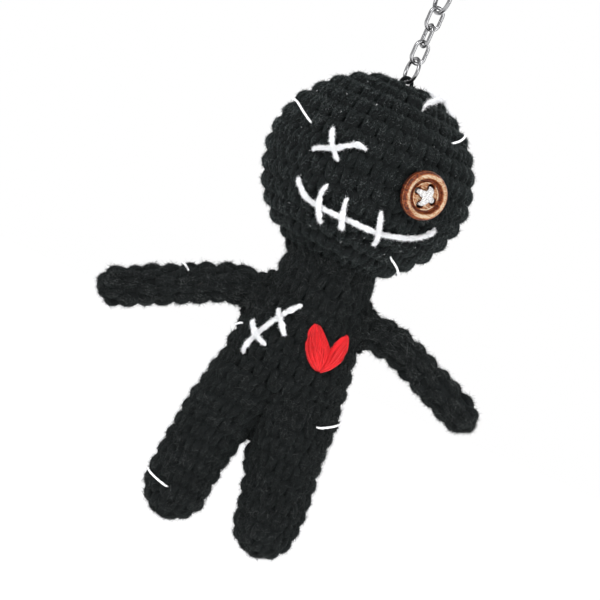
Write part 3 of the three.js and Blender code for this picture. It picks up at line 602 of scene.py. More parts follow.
def yarn_material(name, dark, light, rough, sheen, tint, plies=3.0, turns=1.8, bump=0.5, fine=0.35, fuzz_scale=900.0, spec=0.2, sheen_rough=0.45, grit=0.0):
    mat = bpy.data.materials.new(name)
    nt, b = nodes_of(mat)
    L = nt.links.new
    b.inputs["Roughness"].default_value = rough
    b.inputs["Specular IOR Level"].default_value = spec
    b.inputs["Sheen Weight"].default_value = sheen
    b.inputs["Sheen Roughness"].default_value = sheen_rough
    b.inputs["Sheen Tint"].default_value = (*tint, 1)
    tc = node(nt, "ShaderNodeTexCoord")
    sep = node(nt, "ShaderNodeSeparateXYZ")
    L(tc.outputs["UV"], sep.inputs[0])
    # the plies wind round the strand
    mu = node(nt, "ShaderNodeMath", operation="MULTIPLY", in_1=TAU * plies)
    L(sep.outputs["X"], mu.inputs[0])
    mv = node(nt, "ShaderNodeMath", operation="MULTIPLY", in_1=TAU * turns * 10)
    L(sep.outputs["Y"], mv.inputs[0])
    ad = node(nt, "ShaderNodeMath", operation="SUBTRACT")
    L(mu.outputs[0], ad.inputs[0]); L(mv.outputs[0], ad.inputs[1])
    si = node(nt, "ShaderNodeMath", operation="SINE")
    L(ad.outputs[0], si.inputs[0])
    # fine fibres, stretched along the plies
    comb = node(nt, "ShaderNodeCombineXYZ")
    m2 = node(nt, "ShaderNodeMath", operation="MULTIPLY", in_1=9.0)
    L(ad.outputs[0], m2.inputs[0]); L(m2.outputs[0], comb.inputs[0])
    m3 = node(nt, "ShaderNodeMath", operation="MULTIPLY", in_1=14.0)
    L(sep.outputs["Y"], m3.inputs[0]); L(m3.outputs[0], comb.inputs[1])
    fib = node(nt, "ShaderNodeTexNoise", in_Scale=1.0, in_Detail=3.0, in_Roughness=0.6)
    L(comb.outputs[0], fib.inputs["Vector"])
    soft = node(nt, "ShaderNodeTexNoise", in_Scale=fuzz_scale, in_Detail=2.0, in_Roughness=0.6)
    L(tc.outputs["Object"], soft.inputs["Vector"])
    h1 = node(nt, "ShaderNodeMath", operation="MULTIPLY_ADD", in_1=0.5 * bump, in_2=0.0)
    L(si.outputs[0], h1.inputs[0])
    h2 = node(nt, "ShaderNodeMath", operation="MULTIPLY_ADD", in_1=fine)
    L(fib.outputs["Fac"], h2.inputs[0]); L(h1.outputs[0], h2.inputs[2])
    h3 = node(nt, "ShaderNodeMath", operation="MULTIPLY_ADD", in_1=fine)
    L(soft.outputs["Fac"], h3.inputs[0]); L(h2.outputs[0], h3.inputs[2])
    bp = node(nt, "ShaderNodeBump", in_Strength=0.8, in_Distance=0.00035)
    L(h3.outputs[0], bp.inputs["Height"])
    L(bp.outputs[0], b.inputs["Normal"])
    # colour: painted shade between the plies, darker in the twist's grooves; patchy dye over the piece
    patch = node(nt, "ShaderNodeTexNoise", in_Scale=140.0, in_Detail=4.0, in_Roughness=0.65)
    L(tc.outputs["Object"], patch.inputs["Vector"])
    mix = node(nt, "ShaderNodeMix", data_type="RGBA")
    mix.inputs[6].default_value = (*dark, 1)
    mix.inputs[7].default_value = (*light, 1)
    f1 = node(nt, "ShaderNodeMath", operation="MULTIPLY_ADD", in_1=0.22, in_2=0.28)
    L(si.outputs[0], f1.inputs[0])
    f2 = node(nt, "ShaderNodeMath", operation="MULTIPLY_ADD", in_1=0.9)
    L(patch.outputs["Fac"], f2.inputs[0]); L(f1.outputs[0], f2.inputs[2])
    f3 = node(nt, "ShaderNodeMath", operation="MULTIPLY_ADD", in_1=grit, in_2=-0.5 * grit)
    L(fib.outputs["Fac"], f3.inputs[0])
    f4 = node(nt, "ShaderNodeMath", operation="ADD", use_clamp=True)
    L(f2.outputs[0], f4.inputs[0]); L(f3.outputs[0], f4.inputs[1])
    f5 = node(nt, "ShaderNodeMath", operation="SUBTRACT", in_1=0.2, use_clamp=True)
    L(f4.outputs[0], f5.inputs[0])
    L(f5.outputs[0], mix.inputs[0])
    L(mix.outputs[2], b.inputs["Base Color"])
    return mat


BLACK = yarn_material("black_yarn", (0.0026, 0.0031, 0.0032), (0.0088, 0.0102, 0.0104), 0.92, 0.03, (0.70, 0.88, 0.86), turns=0.33, spec=0.06)
WHITE = yarn_material("white_yarn", (0.66, 0.66, 0.68), (0.96, 0.96, 0.97), 0.85, 0.15, (1, 1, 1), turns=0.33, spec=0.1)
BUTTON_THREAD = yarn_material("button_thread", (0.20, 0.19, 0.185), (0.84, 0.83, 0.83), 0.7, 0.05, (1, 1, 1), turns=1.2, bump=0.7, fine=0.5, spec=0.15)
THREAD = yarn_material("white_thread", (0.80, 0.80, 0.82), (0.97, 0.97, 0.98), 0.6, 0.1, (1, 1, 1), turns=1.0, bump=0.25)
RED = yarn_material("red_thread", (0.30, 0.0010, 0.0018), (1.0, 0.0175, 0.0250), 0.46, 0.08, (1, 0.45, 0.45), plies=3.0, turns=0.05, bump=0.6, fine=1.0, spec=0.26, grit=0.7)
FILL = yarn_material("fibre_fill", (0.6, 0.59, 0.56), (0.85, 0.84, 0.8), 0.9, 0.3, (1, 1, 1), turns=0.0, bump=0.0, fine=0.8)


def nap_material(name, stops, rough, spec, sheen):
    """Loose fibres: every one takes its own shade, by the random number in its UV."""
    mat = bpy.data.materials.new(name)
    nt, b = nodes_of(mat)
    b.inputs["Roughness"].default_value = rough
    b.inputs["Specular IOR Level"].default_value = spec
    b.inputs["Sheen Weight"].default_value = sheen
    b.inputs["Sheen Tint"].default_value = (0.72, 0.94, 0.90, 1)
    tc = node(nt, "ShaderNodeTexCoord")
    sep = node(nt, "ShaderNodeSeparateXYZ")
    nt.links.new(tc.outputs["UV"], sep.inputs[0])
    ramp = node(nt, "ShaderNodeValToRGB")
    cr = ramp.color_ramp
    cr.elements[0].position, cr.elements[0].color = stops[0][0], (*stops[0][1], 1)
    cr.elements[1].position, cr.elements[1].color = stops[-1][0], (*stops[-1][1], 1)
    for pos, c in stops[1:-1]:
        cr.elements.new(pos).color = (*c, 1)
    patch = node(nt, "ShaderNodeTexNoise", in_Scale=160.0, in_Detail=3.0)
    nt.links.new(tc.outputs["Object"], patch.inputs["Vector"])
    ad = node(nt, "ShaderNodeMath", operation="MULTIPLY_ADD", in_1=0.5)
    ad.inputs[2].default_value = -0.25
    nt.links.new(patch.outputs["Fac"], ad.inputs[0])
    sm_ = node(nt, "ShaderNodeMath", operation="ADD", use_clamp=True)
    nt.links.new(ad.outputs[0], sm_.inputs[0]); nt.links.new(sep.outputs["X"], sm_.inputs[1])
    nt.links.new(sm_.outputs[0], ramp.inputs[0])
    nt.links.new(ramp.outputs[0], b.inputs["Base Color"])
    return mat


BLACK_FUZZ = nap_material("black_nap", [(0.0, (0.0024, 0.0029, 0.0030)), (0.55, (0.0118, 0.0138, 0.0142)), (0.85, (0.033, 0.038, 0.0385)), (1.0, (0.13, 0.14, 0.14))], 0.9, 0.05, 0.06)
BODY_FUZZ = nap_material("black_body_nap", [(0.0, (0.0042, 0.0045, 0.0045)), (0.55, (0.0136, 0.0144, 0.0144)), (0.85, (0.0245, 0.0262, 0.0264)), (1.0, (0.072, 0.075, 0.075))], 0.9, 0.05, 0.03)
ARM_FUZZ = nap_material("black_arm_nap", [(0.0, (0.0050, 0.0055, 0.0056)), (0.55, (0.0158, 0.0171, 0.0171)), (0.85, (0.0300, 0.0325, 0.0325)), (1.0, (0.10, 0.105, 0.104))], 0.9, 0.05, 0.03)
WHITE_FUZZ = nap_material("white_nap", [(0.0, (0.66, 0.66, 0.68)), (1.0, (0.97, 0.97, 0.98))], 0.85, 0.2, 0.1)


def wood_material():
    mat = bpy.data.materials.new("button_wood")
    nt, b = nodes_of(mat)
    L = nt.links.new
    b.inputs["Specular IOR Level"].default_value = 0.16
    b.inputs["Coat Weight"].default_value = 0.04
    b.inputs["Coat Roughness"].default_value = 0.25
    tc = node(nt, "ShaderNodeTexCoord")
    # the button's own tone together with painted shade and painted highlight, per vertex
    stain = node(nt, "ShaderNodeAttribute", attribute_name="stain")
    grain_at = node(nt, "ShaderNodeMapping", vector_type="POINT")
    grain_at.inputs["Scale"].default_value = (420.0, 420.0, 2600.0)
    grain_at.inputs["Rotation"].default_value = (0.0, 0.55, 0.3)
    L(tc.outputs["Object"], grain_at.inputs["Vector"])
    grain = node(nt, "ShaderNodeTexNoise", in_Scale=1.0, in_Detail=5.0, in_Roughness=0.62, in_Distortion=0.6)
    L(grain_at.outputs[0], grain.inputs["Vector"])
    pores = node(nt, "ShaderNodeTexNoise", in_Scale=3800.0, in_Detail=2.0)
    L(tc.outputs["Object"], pores.inputs["Vector"])
    # pale worn wood to deeply stained wood; the button's attribute that drives it also carries painted shade and
    # painted highlight
    f0 = node(nt, "ShaderNodeMath", operation="MULTIPLY_ADD", in_1=1.7, in_2=-0.85)
    L(grain.outputs["Fac"], f0.inputs[0])
    speck = node(nt, "ShaderNodeTexNoise", in_Scale=2300.0, in_Detail=3.0, in_Roughness=0.7)
    L(tc.outputs["Object"], speck.inputs["Vector"])
    f = node(nt, "ShaderNodeMath", operation="MULTIPLY_ADD", in_1=1.5)
    L(speck.outputs["Fac"], f.inputs[0]); L(f0.outputs[0], f.inputs[2])
    f2 = node(nt, "ShaderNodeMath", operation="SUBTRACT", in_1=0.75)
    L(f.outputs[0], f2.inputs[0])
    g = node(nt, "ShaderNodeMath", operation="ADD", use_clamp=True)
    L(f2.outputs[0], g.inputs[0]); L(stain.outputs["Fac"], g.inputs[1])
    ramp = node(nt, "ShaderNodeValToRGB")
    cr = ramp.color_ramp
    cr.elements[0].position, cr.elements[0].color = 0.0, (0.40, 0.31, 0.22, 1)
    cr.elements[1].position, cr.elements[1].color = 1.0, (0.026, 0.0055, 0.003, 1)
    for pos, c in ((0.22, (0.28, 0.165, 0.088, 1)), (0.46, (0.20, 0.062, 0.017, 1)), (0.72, (0.122, 0.021, 0.0042, 1))):
        e = cr.elements.new(pos); e.color = c
    L(g.outputs[0], ramp.inputs[0])
    L(ramp.outputs[0], b.inputs["Base Color"])
    r = node(nt, "ShaderNodeMath", operation="MULTIPLY_ADD", in_1=0.3, in_2=0.36)
    L(grain.outputs["Fac"], r.inputs[0]); L(r.outputs[0], b.inputs["Roughness"])
    h = node(nt, "ShaderNodeMath", operation="MULTIPLY_ADD", in_1=0.3)
    L(pores.outputs["Fac"], h.inputs[0]); L(grain.outputs["Fac"], h.inputs[2])
    bp = node(nt, "ShaderNodeBump", in_Strength=0.35, in_Distance=0.00015)
    L(h.outputs[0], bp.inputs["Height"]); L(bp.outputs[0], b.inputs["Normal"])
    return mat


def steel_material():
    mat = bpy.data.materials.new("nickel_steel")
    nt, b = nodes_of(mat)
    L = nt.links.new
    b.inputs["Metallic"].default_value = 1.0
    tc = node(nt, "ShaderNodeTexCoord")
    n1 = node(nt, "ShaderNodeTexNoise", in_Scale=420.0, in_Detail=6.0, in_Roughness=0.7)
    L(tc.outputs["Object"], n1.inputs["Vector"])
    mp = node(nt, "ShaderNodeMapping")
    mp.inputs["Scale"].default_value = (900.0, 900.0, 5200.0)
    L(tc.outputs["Object"], mp.inputs["Vector"])
    n2 = node(nt, "ShaderNodeTexNoise", in_Scale=1.0, in_Detail=3.0)
    L(mp.outputs[0], n2.inputs["Vector"])
    mix = node(nt, "ShaderNodeMix", data_type="RGBA")
    mix.inputs[6].default_value = (0.135, 0.135, 0.14, 1)
    mix.inputs[7].default_value = (0.27, 0.27, 0.275, 1)
    L(n1.outputs["Fac"], mix.inputs[0]); L(mix.outputs[2], b.inputs["Base Color"])
    r = node(nt, "ShaderNodeMath", operation="MULTIPLY_ADD", in_1=0.22, in_2=0.19)
    L(n1.outputs["Fac"], r.inputs[0]); L(r.outputs[0], b.inputs["Roughness"])
    bp = node(nt, "ShaderNodeBump", in_Strength=0.12, in_Distance=0.00006)
    L(n2.outputs["Fac"], bp.inputs["Height"]); L(bp.outputs[0], b.inputs["Normal"])
    return mat


WOOD, STEEL = wood_material(), steel_material()

# ------------------------------------------------------------------ stuffing: the whole doll is blown up as cloth
head_surf = head_surface()
torso_surf = torso_surface()
left_leg_surf, right_leg_surf = leg_surface(left_leg_sec, LEFT_HIP), leg_surface(right_leg_sec, RIGHT_HIP)
left_arm_surf, LA_line, LA_T = arm_surface(LEFT_ARM, 7.5)
right_arm_surf, RA_line, RA_T = arm_surface(RIGHT_ARM, 7.5)
ALL = (head_surf, torso_surf, left_leg_surf, right_leg_surf, left_arm_surf, right_arm_surf)
BIG = 10.0                                   # cloth is simulated at ten times the size, where its units behave


def stuffed_form(frames=20, voxel=1.9, shrink=0.9, cap=1.7, pressure=380.0, mass=0.1, stiff=8.0, bend=0.2):
    """The doll's covers joined into one skin, sewn tight at the seams and pressed out by the filling."""
    shells = [grid(s.G[::3, ::3], pole0=True, pole1=True) for s in ALL]
    ob = make("stuffed_form", join(*shells), BLACK)
    bm = bmesh.new()
    bm.from_mesh(ob.data)
    bmesh.ops.recalc_face_normals(bm, faces=bm.faces)
    bm.to_mesh(ob.data)
    bm.free()
    ob.data.transform(Matrix.Scale(BIG, 4))
    rm = ob.modifiers.new("skin", "REMESH")
    rm.mode, rm.voxel_size = "VOXEL", voxel * MM * BIG
    skin = bpy.data.meshes.new_from_object(ob.evaluated_get(bpy.context.evaluated_depsgraph_get()))
    ob.modifiers.clear()
    first = ob.data
    ob.data = skin
    bpy.data.meshes.remove(first)
    n = len(skin.vertices)
    co, no = np.empty(3 * n, np.float32), np.empty(3 * n, np.float32)
    skin.vertices.foreach_get("co", co)
    skin.vertices.foreach_get("normal", no)
    co, no = co.reshape(-1, 3).astype(float), no.reshape(-1, 3).astype(float)
    start = co - no * shrink * MM * BIG
    skin.vertices.foreach_set("co", start.astype(np.float32).ravel())
    skin.update()
    doll = co / (MM * BIG) - OFF
    # what is sewn holds still: neck, shoulders, crown and the fork of the legs
    near = [np.abs(doll[:, 2] + 25.2) / 1.6,
            np.hypot(np.hypot(doll[:, 0], doll[:, 1]), doll[:, 2] - 25.5) / 3.5,
            np.hypot(np.abs(doll[:, 0] + 0.9) / 1.0, np.maximum(0, np.abs(doll[:, 2] + 73.5) - 3.0) / 1.0) / 2.2]
    for sx, (ax, az) in ((-1, LEFT_ARM["line"][0]), (1, RIGHT_ARM["line"][0])):
        near.append(np.hypot(doll[:, 0] - (ax - sx * 3.0), np.maximum(0, np.hypot(doll[:, 1], doll[:, 2] - az) - 7.0)) / 1.7)
    hold = np.clip(1.6 - np.min(near, axis=0), 0, 1)
    pin = ob.vertex_groups.new(name="sewn")
    for i in np.nonzero(hold > 0.02)[0]:
        pin.add([int(i)], float(hold[i]), "REPLACE")
    cloth = ob.modifiers.new("cloth", "CLOTH")
    st = cloth.settings
    st.quality = 6
    st.mass = mass
    st.tension_stiffness = st.compression_stiffness = stiff
    st.shear_stiffness = 0.5 * stiff
    st.bending_stiffness = bend
    st.use_pressure = True
    st.uniform_pressure_force = pressure
    st.vertex_group_mass = "sewn"
    st.effector_weights.gravity = 0.0
    cloth.collision_settings.use_collision = False
    cloth.point_cache.frame_start, cloth.point_cache.frame_end = 1, frames
    sc_ = bpy.context.scene
    for f in range(1, frames + 1):
        sc_.frame_set(f)
    got = bpy.data.meshes.new_from_object(ob.evaluated_get(bpy.context.evaluated_depsgraph_get()))
    end = np.empty(3 * n, np.float32)
    got.vertices.foreach_get("co", end)
    end = end.reshape(-1, 3).astype(float)
    sc_.frame_set(1)
    move = (end - start) / (MM * BIG)
    size = np.linalg.norm(move, axis=1, keepdims=True)
    move = move * np.minimum(1, cap / np.maximum(size, 1e-9))
    out = (start / (MM * BIG)) + move - OFF
    faces = [tuple(q.vertices) for q in got.polygons]
    bpy.data.objects.remove(ob)
    bpy.data.meshes.remove(skin)
    bpy.data.meshes.remove(got)
    return out, faces, float(size.mean()), float(size.max())


stuff_v, stuff_f, stuff_mean, stuff_max = stuffed_form()
tree = BVHTree.FromPolygons([Vector(v) for v in stuff_v], stuff_f)
moved = []
for surf in ALL:
    G = surf.G.copy()
    rows, cols = G.shape[:2]
    coarse = np.zeros((rows, cols // 4, 3))
    for i in range(rows):
        for j in range(cols // 4):
            p = surf.G[i, 4 * j]
            q, n_, _, dist = tree.find_nearest(Vector(p))
            if q is None or dist > 2.4:
                continue
            w = 1 - max(0.0, (dist - 1.3) / 1.1)
            coarse[i, j] = (np.array(q) - p) * w
    # spread over the rings and along the piece
    for _ in range(2):
        coarse = 0.5 * coarse + 0.25 * (np.roll(coarse, 1, axis=1) + np.roll(coarse, -1, axis=1))
        coarse[1:-1] = 0.5 * coarse[1:-1] + 0.25 * (coarse[2:] + coarse[:-2])
    # the girth is the measured one: what a ring shrank or grew by as a whole is taken back out
    Nc = surf.N[:, ::4]
    whole = (coarse * Nc).sum(-1).mean(1)
    for _ in range(6):
        whole[1:-1] = 0.5 * whole[1:-1] + 0.25 * (whole[2:] + whole[:-2])
    along = coarse.mean(1, keepdims=True)
    along = along - Nc * (along * Nc).sum(-1, keepdims=True)
    coarse = coarse - Nc * whole[:, None, None] - along
    out_by = (coarse * Nc).sum(-1, keepdims=True)
    coarse = coarse + Nc * (np.clip(out_by, -1.0, 0.3) - out_by)
    x = np.arange(cols) / 4
    a, f = np.floor(x).astype(int) % (cols // 4), (x - np.floor(x))[None, :, None]
    surf.shift = coarse[:, a] * (1 - f) + coarse[:, (a + 1) % (cols // 4)] * f
    surf.plain = KDTree(G.shape[0] * cols)
    for i, p in enumerate(G.reshape(-1, 3)):
        surf.plain.insert(Vector(p), i)
    surf.plain.balance()
    surf.G = G + surf.shift
    surf.turn()
    moved.append(float(np.abs(coarse).max()))


def swell(P, surf):
    """Carries points laid out on the plain form over to the stuffed one."""
    P = np.asarray(P, float)
    D = surf.shift.reshape(-1, 3)
    flat_ = P.reshape(-1, 3)
    out_ = np.empty_like(flat_)
    for i, p in enumerate(flat_):
        near_ = surf.plain.find_n(Vector(p), 6)
        w_ = np.array([1.0 / (d_ + 0.3) for _, _, d_ in near_])
        out_[i] = p + (D[[k_ for _, k_, _ in near_]] * w_[:, None]).sum(0) / w_.sum()
    return out_.reshape(P.shape)


# ------------------------------------------------------------------ crocheted covers
def cover(name, surf, s0, s1, pitch, gauge, seed, open0, open1, hairs, short, base, ride, deep=1.55, last=0.3, relief=1.0, bare=(), slant=0.15):
    """One crocheted cover with its nap and its loose hairs. ride is a body to attach to; given as (body, body, start,
    end) its entries are not used and the pieces stay unattached.
    """
    parts, roots = crochet(surf, s0, s1, pitch, gauge, seed, last, relief, slant)
    shell = fabric(surf, *base, deep, 1.0, open0, open1)
    n_nap = -(-short // 46000)
    ob = make(name + "_crochet", join(shell, *parts), BLACK)
    fur = BLACK_FUZZ if name == "head" else ARM_FUZZ if "arm" in name else BODY_FUZZ
    soft = [make(f"{name}_nap_{i + 1}", down(roots, short // n_nap, seed + 50 + i, length=0.9 if name == "head" else 1.15, width=0.049, bare=bare), fur) for i in range(n_nap)]
    hair = make(name + "_hairs", fuzz(roots, hairs, seed + 100, length=0.95, width=0.022), fur)
    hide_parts(name + "_cover")
    for o in (ob, *soft, hair):
        if isinstance(ride, str):
            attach(o, ride)
        else:
            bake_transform(o)
    return roots


def lump(name, surf, s0, s1, deep, node_name, body, seed):
    """The filling: a soft lumpy block inside a cover."""
    nu, ns = 40, 30
    ss = np.linspace(s0, s1, ns)[:, None]
    uu = (np.arange(nu) / nu)[None, :]
    P, N = surf.at(ss + 0 * uu, uu + 0 * ss)
    g = np.random.default_rng(seed)
    w = np.zeros((ns, nu))
    for _ in range(10):
        w += np.sin(g.integers(1, 6) * TAU * uu + g.uniform(0, TAU)) * np.sin(g.uniform(0.05, 0.35) * ss + g.uniform(0, TAU))
    P = P - N * (deep + 0.05 * (w + 4))[..., None]
    ob = make(name, grid(P, pole0=True, pole1=True), FILL)
    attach(ob, body)
    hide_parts(node_name)
    return ob


# head: worked from the crown down to the neck
HL = head_surf.length
cover("head", head_surf, 1.2, HL - 1.0, 5.1, 4.6, 11, False, True, 1500, 120000, (0.0, HL - 0.3), "head",
      bare=((on(head_sec, np.float64(0.1), front_phi(head_sec, 14.65, 0.1), 0.0)[0], 4.0), (np.array([0, 0, HEAD_TOP - 0.8]), 3.0)))
lump("head_filling", head_surf, 4.0, HL - 1.5, 3.0, "head_stuffing", "head", 5)

# body: from the neck to the hips; the lower part carries on in the two legs
TL = torso_surf.length
hip_s = float(np.interp(60.0, -torso_surf.G[:, :, 2].mean(1), torso_surf.s))
cover("torso", torso_surf, 1.0, hip_s, 4.7, 4.6, 12, True, True, 500, 41000, (0.3, TL - 1.0),
      ("head", "torso", (0.0006, 0, -0.0965), (0.0006, 0, -0.1050)), deep=lambda s: 1.45 + 1.6 * np.clip((s - hip_s) / 5.0, 0, 1), relief=0.55)
lump("torso_filling", torso_surf, 3.0, TL - 9.0, 4.0, "torso_stuffing", "torso", 6)

for side, surf, seed, x in (("left", left_leg_surf, 13, -0.0106), ("right", right_leg_surf, 14, 0.0097)):
    cover(side + "_leg", surf, 0.5, surf.length - 0.6, 4.3, 4.5, seed, True, False, 400, 37000, (0.3, surf.length - 0.05),
          ("torso", side + "_leg", (x, 0, -0.1392), (x, 0, -0.1520)), relief=0.55, deep=1.45)
    z0 = float(np.interp(80.0, -surf.G[:, :, 2].mean(1), surf.s))
    lump(side + "_leg_filling", surf, z0, surf.length - 3.5, 3.3, side + "_leg_stuffing", side + "_leg", seed)

for side, surf, seed, arm in (("left", left_arm_surf, 15, LEFT_ARM), ("right", right_arm_surf, 16, RIGHT_ARM)):
    p = np.array([arm["line"][0][0], 0, arm["line"][0][1]]) + OFF
    q = np.array([arm["line"][1][0], 0, arm["line"][1][1]]) + OFF
    d = unit(q - p)
    cover(side + "_arm", surf, 0.5, surf.length - 0.5, 5.0, 5.3, seed, True, False, 300, 22000, (0.3, surf.length - 0.05),
          ("torso", side + "_arm", tuple((p - d * 4.0) * MM), tuple((p + d * 4.5) * MM)), relief=0.95, deep=1.3, slant=0.5)
    lump(side + "_arm_filling", surf, 9.5, surf.length - 3.0, 3.0, side + "_arm_stuffing", side + "_arm", seed)


# ------------------------------------------------------------------ yarn stitches on the doll
def strand_on(name, sec, pts, r, body, replaces, material=None, fur=None, hairs=None, seed=1, front=True,
              height=0.5, dive=1.7, plies=3, pitch=3.0, flat=0.86, sides=20, dive_len=1.6, blunt=0.30):
    """A strand of yarn laid over the fabric, its ends pulled down into it. pts are (x or phi, z, lift)."""
    pts = np.array([(p + (0,))[:3] if len(p) == 2 else p for p in pts], float)
    z = pts[:, 1]
    phi = front_phi(sec, pts[:, 0], z) if front else np.radians(pts[:, 0])
    n_out = max(14, int(12 * len(pts)))
    raw = smooth_line(np.stack([phi * 20, z, pts[:, 2] * 3], -1), n_out)
    P, N = on(sec, raw[:, 1], raw[:, 0] / 20, 0.0)
    seg = np.concatenate([[0], np.cumsum(np.linalg.norm(np.diff(P, axis=0), axis=1))])
    n = max(16, int(seg[-1] / 0.28))
    t = np.linspace(0, seg[-1], n)
    P = np.stack([np.interp(t, seg, P[:, k]) for k in range(3)], -1)
    N = unit(np.stack([np.interp(t, seg, N[:, k]) for k in range(3)], -1))
    surf = {"head": head_surf, "torso": torso_surf, "left_leg": left_leg_surf}[body]
    P = swell(P, surf)
    lift = np.interp(t, seg, raw[:, 2] / 3)
    end = np.minimum(t, seg[-1] - t)
    k = np.clip(end / dive_len, 0, 1)
    k = k * k * (3 - 2 * k)
    C = P + N * (height + lift - (1 - k) * (dive if hairs == 0 else 0.62 * dive))[:, None]
    k = np.clip(end / (dive_len if hairs == 0 else 3.1 - 2.2 * blunt), 0, 1) ** 0.75
    g = np.random.default_rng(seed)
    rough = np.convolve(g.standard_normal(len(k) + 2), np.ones(3) / 3, mode="valid")
    R = r * ((0.62 + 0.38 * k) if hairs == 0 else (blunt + (1.06 - blunt) * k)) * (1 + 0.30 * rough * (hairs != 0))
    if hairs == 0:
        part = tubes(C[None], N[None], R[None], sides, flat=flat, plies=plies, amp=0.15, pitch=pitch)
    else:
        part = plied(C, N, R * 1.08, seed, pitch=4.2)
    ob = make(name, part, material or WHITE)
    if replaces:
        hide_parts(replaces)
    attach(ob, body)
    if hairs != 0:
        cnt = hairs or int(seg[-1] * 34)
        loose = make(name + "_hairs", fuzz([(C[None], N[None], R[None])], int(cnt * 0.5), seed + 7, length=0.7, width=0.036, side=1.6), fur or WHITE_FUZZ)
        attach(loose, body)
        h = make(name + "_nap", down([(C[None], N[None], R[None])], cnt * 4, seed, length=0.62, width=0.055, flat=0.55), fur or WHITE_FUZZ)
        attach(h, body)
    return ob, C, N


YR = 0.50
face = [
    ("eye_stitch_long", [(-15.3, -0.6, 0), (-12.6, 0.85, 0), (-9.6, 2.0, 0), (-7.05, 3.8, 0), (-5.0, 4.9, 0), (-2.3, 4.9, 0)]),
    ("eye_stitch_short", [(-12.4, 7.1, 0), (-11.6, 4.8, 0.4), (-10.2, 2.3, 1.0), (-9.1, 0.8, 0.4), (-7.9, -0.75, 0)]),
    ("mouth_yarn", [(-15.7, -7.8, 0), (-14.0, -9.9, 0), (-12.1, -11.55, 0), (-9.5, -12.45, 0), (-7.0, -12.8, 0), (-3.5, -12.9, 0),
                    (0, -12.9, 0), (4.5, -13.0, 0), (8.5, -12.9, 0), (13.0, -12.0, 0), (16.0, -11.1, 0), (18.5, -9.8, 0), (20.3, -8.2, 0), (21.9, -6.2, 0)]),
    ("mouth_stitch_1", [(-8.0, -7.0, 0), (-8.2, -9.6, 0.4), (-7.3, -12.5, 1.0), (-6.3, -14.8, 0.4), (-5.2, -16.7, 0)]),
    ("mouth_stitch_2", [(-2.25, -8.0, 0), (-1.8, -10.2, 0.4), (-1.0, -12.8, 1.0), (-0.4, -14.7, 0.4), (0.1, -16.1, 0)]),
    ("mouth_stitch_3", [(6.8, -7.6, 0), (7.7, -10.2, 0.4), (8.4, -12.9, 1.0), (8.7, -14.8, 0.4), (8.7, -16.5, 0)]),
]
for i, (name, pts) in enumerate(face):
    strand_on(name.replace("stitch", "strand").replace("mouth_yarn", "mouth_line"), head_sec, pts, YR, "head", name, seed=200 + i)

chest = [
    ("chest_scar_yarn", [(-1.7, -37.7, 0), (-3.3, -39.7, 0), (-5.4, -42.6, 0), (-7.3, -45.8, 0), (-8.8, -48.9, 0), (-9.9, -51.9, 0), (-10.6, -55.0, 0)]),
    ("chest_scar_stitch_1", [(-6.8, -40.9, 0), (-6.0, -41.9, 0.4), (-5.2, -43.0, 1.0), (-3.9, -44.8, 0.4), (-2.5, -46.8, 0)]),
    ("chest_scar_stitch_2", [(-11.8, -46.0, 0), (-10.4, -47.4, 0.4), (-8.8, -49.1, 1.0), (-7.5, -50.1, 0.4), (-6.2, -50.8, 0)]),
]
for i, (name, pts) in enumerate(chest):
    strand_on(name.replace("stitch", "strand").replace("scar_yarn", "scar_line"), torso_sec, pts, YR * 1.06, "torso", name, seed=230 + i, blunt=0.6)

# fine white thread over the edges
edges = [
    ("edge_stitch_head_left", head_sec, "head", [(-43.5, 5.7, 0), (-55, 7.6, 0), (-68, 9.25, 0), (-82, 9.8, 0), (-97, 10.0, 0)]),
    ("edge_stitch_head_right", head_sec, "head", [(47, 15.1, 0), (57, 16.3, 0), (67, 17.4, 0), (78, 18.3, 0), (92, 18.9, 0)]),
    ("edge_stitch_chin", head_sec, "head", [(43, -17.4, 0), (57, -18.7, 0), (72, -19.8, 0), (95, -20.6, 0)]),
    ("edge_stitch_side", torso_sec, "torso", [(-64, -47.8, 0), (-76, -48.5, 0), (-90, -49.0, 0), (-106, -49.2, 0)]),
    ("edge_stitch_thigh", lambda z: [np.interp(-np.asarray(z, float), [-r[0] for r in RIGHT_HIP], [r[k] for r in RIGHT_HIP]) for k in (1, 2, 3)], "torso",
     [(30, -64.9, 0.1), (47, -63.6, 0.1), (68.5, -62.4, 0.1), (95, -61.3, 0)]),
    ("edge_stitch_foot", left_leg_sec, "left_leg", [(-16.5, -93.8, 0), (-37, -93.1, 0), (-58, -92.3, 0), (-78, -91.6, -0.1), (-96, -91.2, -0.4)]),
]
for i, (name, sec, body, pts) in enumerate(edges):
    strand_on(name.replace("stitch", "thread"), sec, pts, 0.28, body, name, material=THREAD, hairs=0, front=False,
              height=0.5, dive=1.2, plies=2, pitch=1.6, flat=1.0, sides=12, dive_len=0.8)


def on_arm(line, T, r, s, phi, off):
    L = np.concatenate([[0], np.cumsum(np.linalg.norm(np.diff(line, axis=0), axis=1))])
    c = np.array([np.interp(s, L, line[:, k]) for k in range(3)])
    t = unit(np.array([np.interp(s, L, T[:, k]) for k in range(3)]))
    n = np.array([-t[2], 0, t[0]])
    n = n if n[2] > 0 else -n
    d = n * math.cos(phi) + np.array([0, -1.0, 0]) * math.sin(phi)
    return c + d * (r + off), d


pn = [on_arm(LA_line, LA_T, LEFT_ARM["r"], 7.5 + s, math.radians(f), 0.0) for s, f in ((12.7, 58), (13.3, 40), (13.9, 20), (14.4, 0), (14.8, -18))]
line = smooth_line([p for p, _ in pn], 40)
nrm = unit(smooth_line([n for _, n in pn], 40))
k = np.clip(np.minimum(np.arange(40), 39 - np.arange(40)) / 5, 0, 1)
line = line + nrm * (0.5 - 1.5 * (1 - k * k * (3 - 2 * k)))[:, None]
ob = make("edge_thread_arm", tubes(line[None], nrm[None], np.full((1, 40), 0.28), 12, plies=2, amp=0.11, pitch=1.6), THREAD)
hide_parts("edge_stitch_arm"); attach(ob, "left_arm")


